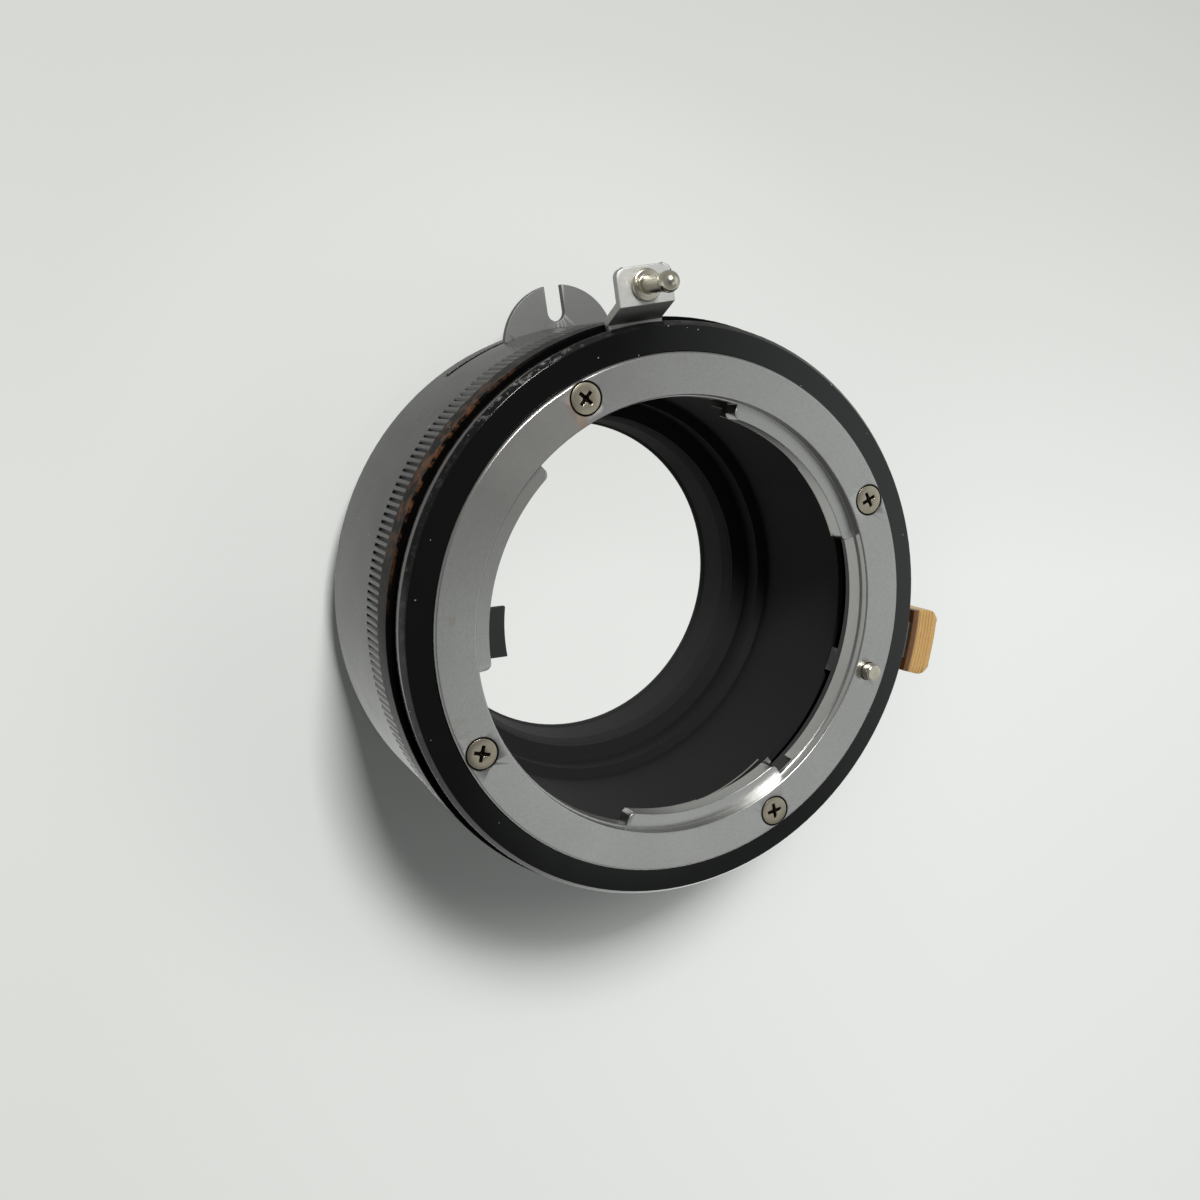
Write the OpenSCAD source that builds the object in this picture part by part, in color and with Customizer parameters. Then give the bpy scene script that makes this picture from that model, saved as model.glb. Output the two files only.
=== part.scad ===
// Automatic extension ring for a three-lug lens bayonet, 27.5 mm long.
// The ring stands on its camera end. Z runs along the optical axis toward the lens,
// z = 0 is the face that meets the camera, and angles are counter-clockwise as the lens side sees them.

/* [Overall] */
// Distance from the camera flange face to the lens flange face
flange_distance = 27.5; // [26:0.5:40]
// Number of facets that draw one full circle in the preview
smoothness = 96; // [48:8:180]

/* [Lens bayonet] */
// Diameter of the bright lens flange
lens_flange_d = 56.3; // [55.6:0.1:56.4]
// Thickness of the lens flange plate
lens_flange_t = 1.6; // [1.4:0.1:1.9]
// Diameter of the opening in the flange face
lens_entry_d = 47.5; // [47.3:0.1:48]
// Diameter of the wall that the lens lugs pass between the ring's own lugs
lens_clear_d = 47.1; // [46.6:0.1:47.2]
// Diameter across the inner edges of the three lugs
lens_lug_d = 44.1; // [43.6:0.1:44.6]
// Depth of the lugs behind the flange face
lens_lug_recess = 1.1; // [0.8:0.1:1.3]
// Thickness of the lugs along the axis
lens_lug_t = 2; // [1.6:0.1:2.2]
// Radius of the rounded lug corners
lens_lug_corner_r = 0.7; // [0.3:0.1:1]
// Outside diameter of the hub behind the flange plate
lens_hub_d = 48.8; // [48.6:0.1:48.9]
// Width of the slot at the end of each lug, in degrees
lug_notch_deg = 5.5; // [3:0.5:7]
// Height of that slot along the axis
lug_notch_h = 1.5; // [1:0.1:1.7]
// How far the flange face stands above the black ring
flange_proud = 0.45; // [0.2:0.05:0.8]
// Size of the bevels on the flange edges
flange_bevel = 0.2; // [0.1:0.05:0.35]

/* [Leaf springs] */
// Thickness of the leaf springs behind the lugs
leaf_t = 0.3; // [0.2:0.05:0.4]
// Angle that the fixed part of a leaf covers
leaf_fixed_deg = 25; // [20:1:28]
// Tilt of the free part of a leaf, away from the lug
leaf_tilt_deg = 6.5; // [3:0.5:8]
// Length of the small tongue at the free end, in degrees
leaf_tongue_deg = 3; // [1:0.5:4]
// Width of that tongue
leaf_tongue_w = 0.75; // [0.5:0.05:0.9]
// Distance of a leaf from the outer edge of the hub
leaf_setback = 0.2; // [0.1:0.05:0.3]
// How much narrower the free part of a leaf is, each side
leaf_step = 0.15; // [0.1:0.05:0.25]
// Diameter of the rivets that hold the leaves
leaf_rivet_d = 0.8; // [0.6:0.1:1]

/* [Screws] */
// Diameter of the circle on which the flange screws sit
flange_screw_circle_d = 52.5; // [52.2:0.1:52.8]
// Angle of the first flange screw
flange_screw_deg = 31.3; // [28:0.1:36]
// Number of flange screws
flange_screw_count = 4; // [3:1:5]
// Head diameter of the countersunk screws
screw_head_d = 3.2; // [2.8:0.1:3.4]
// Shank diameter of the countersunk screws
screw_shank_d = 1.6; // [1.4:0.1:1.7]
// Length of the flange screws under the flange face
flange_screw_len = 4.4; // [3:0.1:4.5]
// Number of screws in the camera bayonet
camera_screw_count = 3; // [3:1:4]
// Diameter of the circle on which the camera bayonet's screws sit
camera_screw_circle_d = 51.8; // [51.4:0.1:52.4]
// Angle of the first screw of the camera bayonet
camera_screw_deg = 65; // [60:1:70]
// Length of the camera bayonet's screws
camera_screw_len = 3; // [2.6:0.1:3.2]
// Play around the heads of the flange screws, on the radius
screw_head_play = 0.12; // [0.05:0.01:0.15]
// Depth of the straight rim of a screw head
screw_rim_t = 0.15; // [0.1:0.05:0.3]
// Size of the cross recess, as a share of the head's diameter
recess_share = 0.55; // [0.45:0.05:0.65]
// Depth of the cross recess
recess_depth = 0.45; // [0.3:0.05:0.5]

/* [Rivets] */
// Diameter of the follower's rivets
follower_rivet_d = 1; // [0.8:0.1:1.2]
// Head diameter of the follower's rivets
follower_rivet_head_d = 1.6; // [1.4:0.1:1.8]
// Length of the follower's rivets in the coupling ring
follower_rivet_len = 1.5; // [1:0.1:2]
// Diameter of the prong's rivets
prong_rivet_d = 0.6; // [0.5:0.05:0.65]
// Head diameter of the prong's rivets
prong_rivet_head_d = 1; // [0.8:0.05:1]
// Length of the prong's rivets in the coupling sleeve
prong_rivet_len = 1.5; // [1:0.1:2]
// Diameter of the rivets in the stop-down ring
stopdown_rivet_d = 0.5; // [0.4:0.05:0.6]
// Thickness of the rivet heads
rivet_head_t = 0.18; // [0.1:0.02:0.2]
// Diameter of the follower pin's riveted tail
pin_tail_rivet_d = 1.4; // [1.2:0.1:1.5]
// Head diameter of that tail
pin_tail_head_d = 2.6; // [2.3:0.1:2.8]
// Thickness of that head
pin_tail_head_t = 0.3; // [0.2:0.05:0.4]

/* [Front ring] */
// Outside diameter of the black front ring
front_ring_d = 62.6; // [62:0.1:63]
// Depth of the front ring's rear face behind the lens flange face
front_ring_depth = 2.9; // [2.8:0.1:3]
// Depth of the sharp outer edge behind the lens flange face
front_edge_depth = 1.5; // [1.3:0.1:1.8]
// Width of the bevel on the outer edge
front_bevel = 0.5; // [0.3:0.1:0.8]
// Outside diameter of the hub that screws into the main tube
front_hub_d = 54.8; // [54.6:0.1:55]
// Length of that hub
front_hub_len = 2.1; // [1.8:0.1:2.3]

/* [Lens lock] */
// Diameter of the lock pin
lock_pin_d = 2; // [1.8:0.1:2.1]
// Distance of the lock pin from the axis
lock_pin_r = 25.7; // [25.6:0.05:25.75]
// Angle of the lock pin
lock_pin_deg = 345.8; // [344:0.1:348]
// How far the lock pin stands above the flange face
lock_pin_proud = 1.2; // [0.8:0.1:1.3]
// Travel of the release lever toward the camera
lock_travel = 1.25; // [1:0.05:1.25]
// Thickness of the steel release lever
lever_t = 0.5; // [0.4:0.05:0.55]
// Angle of the release cap
release_deg = 354.4; // [353:0.1:356]
// Width of the release cap
cap_w = 7.8; // [6.4:0.1:8.4]
// Distance of the cap's outer face from the axis
cap_outer_r = 35.9; // [35.4:0.1:37]
// Length of the cap along the axis
cap_len = 6.4; // [5:0.1:8]
// Thickness of the cap's wall in front of the lever
cap_front_t = 0.35; // [0.25:0.05:0.5]
// Radius of the cap's outer corners
cap_corner_r = 1.4; // [0.6:0.1:2]
// Width of the steel lever where it carries the cap
lever_w = 4.4; // [3.6:0.1:5]
// Reach of the lever's pad outside the pin's centre
lever_pad_out = 1.4; // [1.2:0.1:1.5]
// Reach of the lever's pad inside the pin's centre
lever_pad_in = 0.9; // [0.8:0.05:0.9]
// Distance between the grip grooves on the cap
cap_groove_pitch = 0.45; // [0.35:0.05:0.6]

/* [Coupling ring] */
// Outside diameter over the serrations
coupling_d = 63.7; // [63.5:0.1:64.4]
// Bore of the coupling ring, which turns on the main tube
coupling_bore_d = 57.3; // [57.28:0.01:57.4]
// Length of the coupling ring's head
coupling_head_len = 7.9; // [7:0.1:9]
// Depth of the coupling ring's front face behind the lens flange face
coupling_depth = 4; // [3.9:0.05:4.3]
// Length of the plain rim in front of the serrations
coupling_rim_len = 3.2; // [1.5:0.1:4]
// Number of serrations
serration_count = 240; // [120:10:260]
// Depth of the serrations
serration_depth = 0.35; // [0.2:0.05:0.45]
// Share of each pitch that stays as a land
serration_land = 0.42; // [0.2:0.02:0.6]
// Wall of the sleeve that carries the meter prong
coupling_sleeve_t = 1.05; // [0.9:0.05:1.1]
// Play between the sleeve and the main tube, on the radius
coupling_sleeve_gap = 0.3; // [0.25:0.05:0.4]
// Angle of the follower pin and of the meter prong
coupling_deg = 103.2; // [95:0.1:105]
// How far the coupling ring turns one way from where it is shown
coupling_turn_up = 13; // [5:1:20]
// How far the coupling ring turns the other way
coupling_turn_down = 45; // [20:1:50]

/* [Follower and prong] */
// Thickness of the follower and of the prong plates
plate_t = 0.9; // [0.7:0.05:1]
// Width of the follower plate
follower_w = 6.3; // [5:0.1:7.5]
// Distance from the pin's centre to the follower's top edge
follower_margin = 1.95; // [1.7:0.05:2.5]
// Radius of the follower's corners
follower_corner_r = 0.9; // [0.4:0.1:1.3]
// Distance of the pin and of the prong's slot from the axis
coupling_pin_r = 35; // [34.8:0.1:35.2]
// Diameter of the follower pin
follower_pin_d = 1.85; // [1.6:0.05:2]
// How much wider the pin's rounded end is, on the radius
follower_tip_swell = 0.15; // [0.12:0.01:0.2]
// Length over which the pin widens toward that end
follower_tip_len = 0.7; // [0.5:0.1:1]
// Height of the follower pin's end above the lens flange face
follower_pin_top = 6; // [4.5:0.1:7.5]
// Diameter of the follower pin's collar
follower_collar_d = 3.3; // [2.8:0.1:3.5]
// Thickness of the follower pin's collar
follower_collar_t = 0.5; // [0.3:0.1:0.8]
// Radius of the prong's round outline
prong_r = 7.1; // [6.6:0.1:7.6]
// Distance of the prong's top from the axis
prong_top_r = 36.6; // [36:0.1:37.2]
// Width of the slot in the prong
prong_slot_w = 2.15; // [2:0.05:2.4]
// Distance of the bottom of the prong's slot from the axis
prong_slot_bottom_r = 32.4; // [32.2:0.1:33]
// Height of the prong's camera side above the camera flange face
prong_z = 3.4; // [3.3:0.05:3.6]

/* [Barrels] */
// Outside diameter of the rear barrel
barrel_d = 63.4; // [63:0.1:63.6]
// Wall of the rear barrel
barrel_wall = 1.45; // [1.3:0.05:1.45]
// Distance of the barrel's rear edge from the camera flange face
barrel_z = 0.4; // [0.3:0.05:0.8]
// Thickness of the rear barrel's end wall
barrel_end_t = 2.4; // [2:0.1:2.5]
// Play of the prong in the barrel's slot, each side
barrel_slot_play = 0.25; // [0.2:0.05:0.35]
// Outside diameter of the main tube
main_tube_d = 57.2; // [57:0.05:57.2]
// Bore of the main tube
main_tube_bore_d = 54; // [53.9:0.1:54.2]
// Thickness of the main tube's inward rear flange
main_tube_flange_t = 2; // [1.6:0.1:2.1]
// Hole in the main tube's rear flange
main_tube_hole_d = 47.8; // [47.4:0.1:48.4]

/* [Inner parts] */
// Bore of the matte inner sleeve
sleeve_bore_d = 49; // [48.8:0.1:49.2]
// Outside diameter of the inner sleeve, on which the stop-down ring turns
sleeve_d = 50.4; // [50.3:0.1:50.6]
// Depth of the sleeve's front edge behind the lens flange face
sleeve_depth = 6.5; // [6.4:0.1:7]
// Length of the sleeve's rear flange
sleeve_flange_len = 2.4; // [2:0.1:3]
// Front face of the rear baffle above the camera flange face
baffle_front_z = 5.1; // [4.9:0.1:5.3]
// First step in the baffle's bore
baffle_step_d = 46.4; // [46:0.1:47]
// Wide end of the baffle's cone
baffle_cone_d = 43; // [42.6:0.1:43.4]
// Clear opening at the camera end
rear_opening_d = 39.9; // [39.5:0.1:40.2]
// Width of the snap ring that holds the sleeve
snap_ring_w = 0.8; // [0.6:0.1:1]

/* [Stop-down ring] */
// Length of the stop-down ring
stopdown_len = 3; // [2.5:0.1:3.5]
// Outside diameter of the stop-down ring
stopdown_d = 52.8; // [52.4:0.1:52.9]
// Play of the stop-down ring on the sleeve, on the radius
stopdown_play = 0.05; // [0.03:0.01:0.09]
// Angle of the front tab and of the rear arm
stopdown_deg = 186.5; // [184:0.1:190]
// How far the stop-down ring turns
stopdown_turn = 18; // [12:1:20]
// Thickness of the tab and of the arm
stopdown_plate_t = 0.65; // [0.5:0.05:0.7]
// Width of the front tab
tab_w = 5.35; // [4:0.05:6]
// Distance of the front tab's inner edge from the axis
tab_inner_r = 18.85; // [18:0.05:19.5]
// Depth of the front tab behind the lens flange face
tab_depth = 5.3; // [5.25:0.05:5.6]
// Width of the rear arm
arm_w = 4; // [3:0.1:5]
// Distance of the rear arm's finger from the axis
arm_finger_r = 20.05; // [20:0.05:20.15]
// Diameter of the return spring's posts
post_d = 0.6; // [0.5:0.05:0.7]
// Distance of the posts' centres from the inner sleeve
post_stand_off = 0.75; // [0.7:0.05:0.8]
// How far the posts reach past the return spring
post_tail = 0.6; // [0.4:0.1:0.8]
// Radius of the return spring's coil, at the middle of its wire
return_coil_r = 0.35; // [0.3:0.05:0.35]
// Diameter of the return spring's wire
return_wire_d = 0.2; // [0.1:0.02:0.2]

/* [Camera bayonet] */
// Thickness of the camera flange
camera_flange_t = 1.6; // [1.4:0.1:1.8]
// Outside diameter of the neck that enters the camera
camera_neck_d = 44; // [43.8:0.05:44.1]
// Bore of the neck
camera_bore_d = 41.9; // [41.7:0.1:42]
// Diameter across the male lugs
camera_lug_d = 46.9; // [46.4:0.1:47]
// Distance of the male lugs behind the camera flange face
camera_lug_gap = 2.1; // [2.05:0.05:2.3]
// Thickness of the male lugs
camera_lug_t = 1.6; // [1.4:0.1:1.7]
// Length of the neck below the camera flange face
camera_neck_len = 4.5; // [4.3:0.1:5]
// How much shorter than the lens side's lugs each male lug is at either end, in degrees
camera_lug_trim_deg = 1.5; // [1:0.5:3]
// Width of the slot for the camera's lock pin
lock_slot_w = 2.4; // [2.2:0.1:2.6]
// Distance between the round ends of that slot
lock_slot_travel = 1.2; // [0.8:0.1:1.4]

/* [Hidden] */
$fn = smoothness;
EPS = 0.01;

// Clearance between parts that are fixed together
FIT = 0.03;
// Clearance between parts that slide past each other
RUN = 0.05;
// Clearance around things that move freely
FREE = 0.3;

// Colours as the photograph shows them
SATIN_CHROME = [0.72, 0.72, 0.70];
NICKEL = [0.74, 0.71, 0.63];
STEEL = [0.62, 0.62, 0.60];
ALUMINIUM = [0.66, 0.66, 0.65];
BLACK_ANODISED = [0.11, 0.11, 0.12];
GREY_BLACK = [0.28, 0.28, 0.28];
MATTE_BLACK = [0.05, 0.05, 0.05];
AGED_IVORY = [0.78, 0.62, 0.36];

// Where the three lugs start and how far each one reaches, in degrees
LUG_START = [23.2, 138.5, 258.3];
LUG_SPAN = [55.5, 55, 50.4];
RIGHT = 0;
LEFT = 1;
LOWER = 2;

// Heights that several parts share
lens_face_z = flange_distance;
plate_back_z = lens_face_z - lens_flange_t;
lug_front_z = lens_face_z - lens_lug_recess;
lug_back_z = lug_front_z - lens_lug_t;
front_back_z = lens_face_z - front_ring_depth;
hub_back_z = front_back_z - front_hub_len;
coupling_front_z = lens_face_z - coupling_depth;
coupling_back_z = coupling_front_z - coupling_head_len;
sleeve_front_z = lens_face_z - sleeve_depth;
sleeve_flange_z = baffle_front_z + sleeve_flange_len;
tab_z = lens_face_z - tab_depth - stopdown_plate_t;
lever_z = lens_face_z - coupling_depth + RUN + RUN + lock_travel;
baffle_seat_z = camera_flange_t + main_tube_flange_t;

// Radii that several parts share
hub_bore_r = lens_hub_d / 2 + RUN;
main_tube_r = main_tube_d / 2;
main_bore_r = main_tube_bore_d / 2;
coupling_r = coupling_d / 2;
coupling_bore_r = coupling_bore_d / 2;
coupling_sleeve_in_r = main_tube_r + coupling_sleeve_gap;
coupling_sleeve_out_r = coupling_sleeve_in_r + coupling_sleeve_t;
barrel_r = barrel_d / 2;
barrel_in_r = barrel_r - barrel_wall;
spacer_out_r = main_tube_r + coupling_sleeve_gap + RUN;
follower_top_r = coupling_pin_r + follower_margin;
foot_in_r = spacer_out_r + FREE + 0.1;
stopdown_in_r = sleeve_d / 2 + stopdown_play;
stopdown_out_r = stopdown_d / 2;
stopdown_z = sleeve_front_z - 1.6 - stopdown_len;
arm_z = baffle_seat_z + 0.1;
arm_side = asin(arm_w / 2 / arm_finger_r) + 0.8;

// Where the return spring's fixed post and moving post stand, in degrees
POST_DEG = [40, 60];
post_r = sleeve_d / 2 + post_stand_off;
spring_z = stopdown_z - 2 * post_tail - 0.2;

// Thickness of the follower's foot
foot_t = plate_t - 0.1;

// Lock pin and its spring
pin_tail_d = 0.9;
pin_tail_len = 0.55;
pocket_d = 1.9;
pocket_floor_z = hub_back_z - 0.9;
boss_floor_z = pocket_floor_z - 0.4;
lock_wire_d = 0.2;

// Bevel on the ends of small turned pins
small_bevel = 0.15;

// A ring of rectangular section
module ring(outer_r, inner_r, z0, z1) {
    rotate_extrude()
        polygon([[inner_r, z0], [outer_r, z0], [outer_r, z1], [inner_r, z1]]);
}

// A stretch of such a ring, from one angle to another
module arc(outer_r, inner_r, z0, z1, from, to) {
    rotate([0, 0, from])
        rotate_extrude(angle = to - from)
            polygon([[inner_r, z0], [outer_r, z0], [outer_r, z1], [inner_r, z1]]);
}

// Puts its children at a distance and an angle about the axis, with X pointing outward
module at(deg, r = 0, z = 0) {
    rotate([0, 0, deg])
        translate([r, 0, z])
            children();
}

// A box that starts at r0, ends at r1 and is centred on the X axis
module radial_box(r0, r1, w, z0, z1) {
    translate([r0, -w / 2, z0])
        cube([r1 - r0, w, z1 - z0]);
}

// Angle that a width covers at a distance from the axis
function half_angle(w, r) = asin(w / 2 / r);

// A countersunk screw whose head lies flush with z = 0 and whose shank runs down
module countersunk(head_d, shank_d, len, grow = 0) {
    cone = (head_d - shank_d) / 2;
    translate([0, 0, -cone - screw_rim_t - grow])
        cylinder(h = cone, d1 = shank_d + 2 * grow, d2 = head_d + 2 * grow);
    translate([0, 0, -screw_rim_t - 2 * grow])
        cylinder(h = screw_rim_t + 2 * grow, d = head_d + 2 * grow);
    translate([0, 0, -len - grow])
        cylinder(h = len - screw_rim_t, d = shank_d + 2 * grow);
}

// The cross recess of a screw head, sunk from z = 0
module cross_recess(size, depth) {
    arm = size * 0.22;
    for (turn = [0, 90])
        rotate([0, 0, turn])
            translate([-size / 2, -arm / 2, -depth])
                cube([size, arm, 2 * depth]);
    translate([0, 0, -1.4 * depth])
        cylinder(h = 2 * depth, d1 = arm, d2 = 2.2 * arm);
}

module cross_screw(len) {
    difference() {
        countersunk(screw_head_d, screw_shank_d, len);
        cross_recess(recess_share * screw_head_d, recess_depth);
    }
}

// A coil spring that stands on z = 0
module coil(r, wire_d, height, turns, sides = 6, steps = 14) {
    count = turns * steps;
    points = [
        for (i = [0:count])
            for (k = [0:sides - 1])
                let (turn = 360 * i / steps, side = 360 * k / sides)
                    [
                        (r + wire_d / 2 * cos(side)) * cos(turn),
                        (r + wire_d / 2 * cos(side)) * sin(turn),
                        wire_d / 2 + (height - wire_d) * i / count + wire_d / 2 * sin(side)
                    ]
    ];
    skin = [
        for (i = [0:count - 1])
            for (k = [0:sides - 1])
                for (half = [0, 1])
                    let (next = (k + 1) % sides, low = i * sides, high = low + sides)
                        half == 0 ? [low + k, high + k, high + next] : [low + k, high + next, low + next]
    ];
    ends = [[for (k = [0:sides - 1]) k], [for (k = [sides - 1:-1:0]) count * sides + k]];
    polyhedron(points = points, faces = concat(skin, ends));
}

// Points on a bow about a centre that is given by its distance and angle
function bow(centre_r, centre_deg, r, from, to, steps) = [
    for (i = [0:steps])
        let (deg = from + (to - from) * i / max(steps, 1))
            [
                centre_r * cos(centre_deg) + r * cos(deg),
                centre_r * sin(centre_deg) + r * sin(deg)
            ]
];

// Outline of a stretch of a ring; its inner and outer corners are rounded where their radius isn't 0
function rounded_sector(r_in, r_out, from, to, inner_corner, outer_corner) =
    let (
        a = asin(inner_corner / (r_in + inner_corner)),
        b = asin(outer_corner / (r_out - outer_corner)),
        m = inner_corner > 0 ? 6 : 0,
        n = outer_corner > 0 ? 6 : 0,
        step = (to - from) / ceil((to - from) / 2),
        count = (to - from) / step - 2
    )
        concat(
            bow(r_out - outer_corner, from + b, outer_corner, from - 90, from + b, n),
            bow(0, 0, r_out, from + step, to - step, count),
            bow(r_out - outer_corner, to - b, outer_corner, to - b, to + 90, n),
            bow(r_in + inner_corner, to - a, inner_corner, to + 90, to - a + 180, m),
            bow(0, 0, r_in, to - step, from + step, count),
            bow(r_in + inner_corner, from + a, inner_corner, from + a + 180, from + 270, m)
        );

// One bayonet lug with rounded inner corners, for the lens flange
module female_lug(start, span) {
    translate([0, 0, lug_back_z])
        linear_extrude(height = lens_lug_t)
            polygon(rounded_sector(
                lens_lug_d / 2, lens_clear_d / 2 + 0.3, start, start + span, lens_lug_corner_r, 0
            ));
}

module lens_flange() {
    outer = lens_flange_d / 2;
    entry = lens_entry_d / 2;
    clear = lens_clear_d / 2;
    hub = lens_hub_d / 2;
    bevel = flange_bevel;
    color(SATIN_CHROME)
        difference() {
            union() {
                rotate_extrude()
                    polygon([
                        [clear, lug_back_z], [hub, lug_back_z], [hub, plate_back_z], [outer, plate_back_z],
                        [outer, lens_face_z - bevel], [outer - bevel, lens_face_z],
                        [entry + bevel / 2, lens_face_z], [entry, lens_face_z - bevel / 2],
                        [entry, lug_front_z], [clear, lug_front_z]
                    ]);
                for (i = [RIGHT, LEFT, LOWER])
                    female_lug(LUG_START[i], LUG_SPAN[i]);
            }
            for (i = [0:flange_screw_count - 1])
                at(flange_screw_deg + 360 * i / flange_screw_count, flange_screw_circle_d / 2, lens_face_z) {
                    countersunk(screw_head_d, screw_shank_d, flange_screw_len, FIT);
                    translate([0, 0, -2 * screw_rim_t])
                        cylinder(h = 3 * screw_rim_t, r = screw_head_d / 2 + screw_head_play);
                }
            at(lock_pin_deg, lock_pin_r, plate_back_z - 1)
                cylinder(h = lens_flange_t + 2, d = lock_pin_d + 2 * RUN);
            for (i = [RIGHT, LEFT, LOWER])
                arc(hub + 1, clear - RUN, lug_back_z - 1, lug_back_z + lug_notch_h,
                    LUG_START[i] + LUG_SPAN[i] + 0.2, LUG_START[i] + LUG_SPAN[i] + lug_notch_deg);
        }
}

module flange_screws() {
    color(NICKEL)
        for (i = [0:flange_screw_count - 1])
            at(flange_screw_deg + 360 * i / flange_screw_count, flange_screw_circle_d / 2, lens_face_z)
                rotate([0, 0, 25 * i])
                    cross_screw(flange_screw_len);
}

// Leaf spring behind one lug: riveted flat part, then a free part that bends back
module bayonet_spring(i) {
    inner = lens_lug_d / 2 + leaf_setback / 2;
    outer = lens_hub_d / 2 - leaf_setback;
    bend = LUG_START[i] + leaf_fixed_deg;
    reach = LUG_SPAN[i] - leaf_fixed_deg - 0.6;
    color(STEEL)
        difference() {
            union() {
                arc(outer, inner, lug_back_z - leaf_t, lug_back_z, LUG_START[i] + 1, bend);
                at(bend, 0, lug_back_z)
                    rotate([-leaf_tilt_deg, 0, 0]) {
                        arc(outer - leaf_step, inner + leaf_step, -leaf_t, -RUN, -0.3, reach);
                        arc(outer - 2 * leaf_step, outer - 2 * leaf_step - leaf_tongue_w,
                            RUN - leaf_t, -2 * RUN, reach - 1, reach + leaf_tongue_deg);
                    }
            }
            leaf_rivet_holes(i);
        }
}

// Places of the two rivets of one leaf
module at_leaf_rivets(i) {
    for (share = [0.25, 0.75])
        at(LUG_START[i] + share * leaf_fixed_deg, (lens_lug_d + lens_hub_d) / 4, lug_back_z)
            children();
}

module leaf_rivet_holes(i) {
    at_leaf_rivets(i)
        translate([0, 0, -3 * leaf_t])
            cylinder(h = 4 * leaf_t, d = leaf_rivet_d + 2 * FIT, $fn = 24);
}

module bayonet_spring_right() {
    bayonet_spring(RIGHT);
}

module bayonet_spring_left() {
    bayonet_spring(LEFT);
}

module bayonet_spring_lower() {
    bayonet_spring(LOWER);
}

// Rivets with their heads under the leaves, seated against the lugs
module spring_rivets() {
    color(STEEL)
        for (i = [RIGHT, LEFT, LOWER])
            at_leaf_rivets(i) {
                translate([0, 0, -leaf_t])
                    cylinder(h = leaf_t, d = leaf_rivet_d, $fn = 24);
                translate([0, 0, -leaf_t - rivet_head_t])
                    cylinder(h = rivet_head_t, d = 1.8 * leaf_rivet_d, $fn = 24);
            }
}

// Space in which the release lever moves: wide around the pin, narrow where it leaves
module lever_pocket(play, z0, z1) {
    arc(lock_pin_r + lever_pad_out + play, lock_pin_r - lever_pad_in - play, z0, z1,
        lock_pin_deg - 3 - 2 * play, release_deg + half_angle(lever_w, lock_pin_r) + 2 * play);
}

module front_ring() {
    outer = front_ring_d / 2;
    seat = lens_flange_d / 2 + RUN;
    edge_z = lens_face_z - front_edge_depth;
    color(BLACK_ANODISED)
        difference() {
            union() {
                rotate_extrude()
                    polygon([
                        [hub_bore_r, hub_back_z], [front_hub_d / 2, hub_back_z],
                        [front_hub_d / 2, front_back_z], [outer, front_back_z],
                        [outer, edge_z], [outer - front_bevel, edge_z + 1.4 * front_bevel],
                        [seat, lens_face_z - flange_proud], [seat, plate_back_z],
                        [hub_bore_r, plate_back_z]
                    ]);
                arc(main_bore_r - RUN, hub_bore_r + 0.1, boss_floor_z, hub_back_z + 0.2,
                    lock_pin_deg - 3.4, lock_pin_deg + 3.4);
            }
            for (i = [0:flange_screw_count - 1])
                at(flange_screw_deg + 360 * i / flange_screw_count, flange_screw_circle_d / 2, lens_face_z)
                    translate([0, 0, -flange_screw_len - FIT])
                        cylinder(h = flange_screw_len, d = screw_shank_d + 2 * FIT);
            at(lock_pin_deg, lock_pin_r, front_back_z - 1)
                cylinder(h = 4, d = lock_pin_d + 4 * RUN);
            at(lock_pin_deg, lock_pin_r, pocket_floor_z)
                cylinder(h = 4, d = pocket_d);
            lever_pocket(0.1, lever_z - lock_travel - RUN, lever_z + lever_t + 0.1);
            at(release_deg)
                radial_box(lock_pin_r, outer + 1, lever_w + 0.4, lever_z - lock_travel - RUN,
                    lever_z + lever_t + 0.1);
        }
}

// Lock pin: a round body that stands on the lever and a thin tail that guides the spring
module lock_pin() {
    body_z = lever_z + lever_t;
    top_z = lens_face_z + lock_pin_proud;
    color(NICKEL)
        at(lock_pin_deg, lock_pin_r) {
            translate([0, 0, body_z])
                cylinder(h = top_z - body_z - small_bevel, d = lock_pin_d);
            translate([0, 0, top_z - small_bevel])
                cylinder(h = small_bevel, d1 = lock_pin_d, d2 = lock_pin_d - 2 * small_bevel);
            translate([0, 0, lever_z - pin_tail_len])
                cylinder(h = body_z - lever_z + pin_tail_len + EPS, d = pin_tail_d);
        }
}

module lock_pin_spring() {
    color(STEEL)
        at(lock_pin_deg, lock_pin_r, pocket_floor_z)
            coil((pocket_d - 0.15) / 2 - lock_wire_d / 2, lock_wire_d, lever_z - pocket_floor_z - 0.02, 6);
}

module release_lever() {
    leg_in_r = coupling_r + FREE + 0.15;
    leg_out_r = leg_in_r + lever_t;
    color(STEEL)
        difference() {
            union() {
                lever_pocket(-0.15, lever_z, lever_z + lever_t);
                at(release_deg) {
                    radial_box(lock_pin_r, leg_out_r, lever_w, lever_z, lever_z + lever_t);
                    radial_box(leg_in_r, leg_out_r, lever_w, lever_z - cap_len + 1.2, lever_z + lever_t);
                }
            }
            at(lock_pin_deg, lock_pin_r, lever_z - 1)
                cylinder(h = 3, d = pin_tail_d + 2 * FIT);
        }
}

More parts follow.
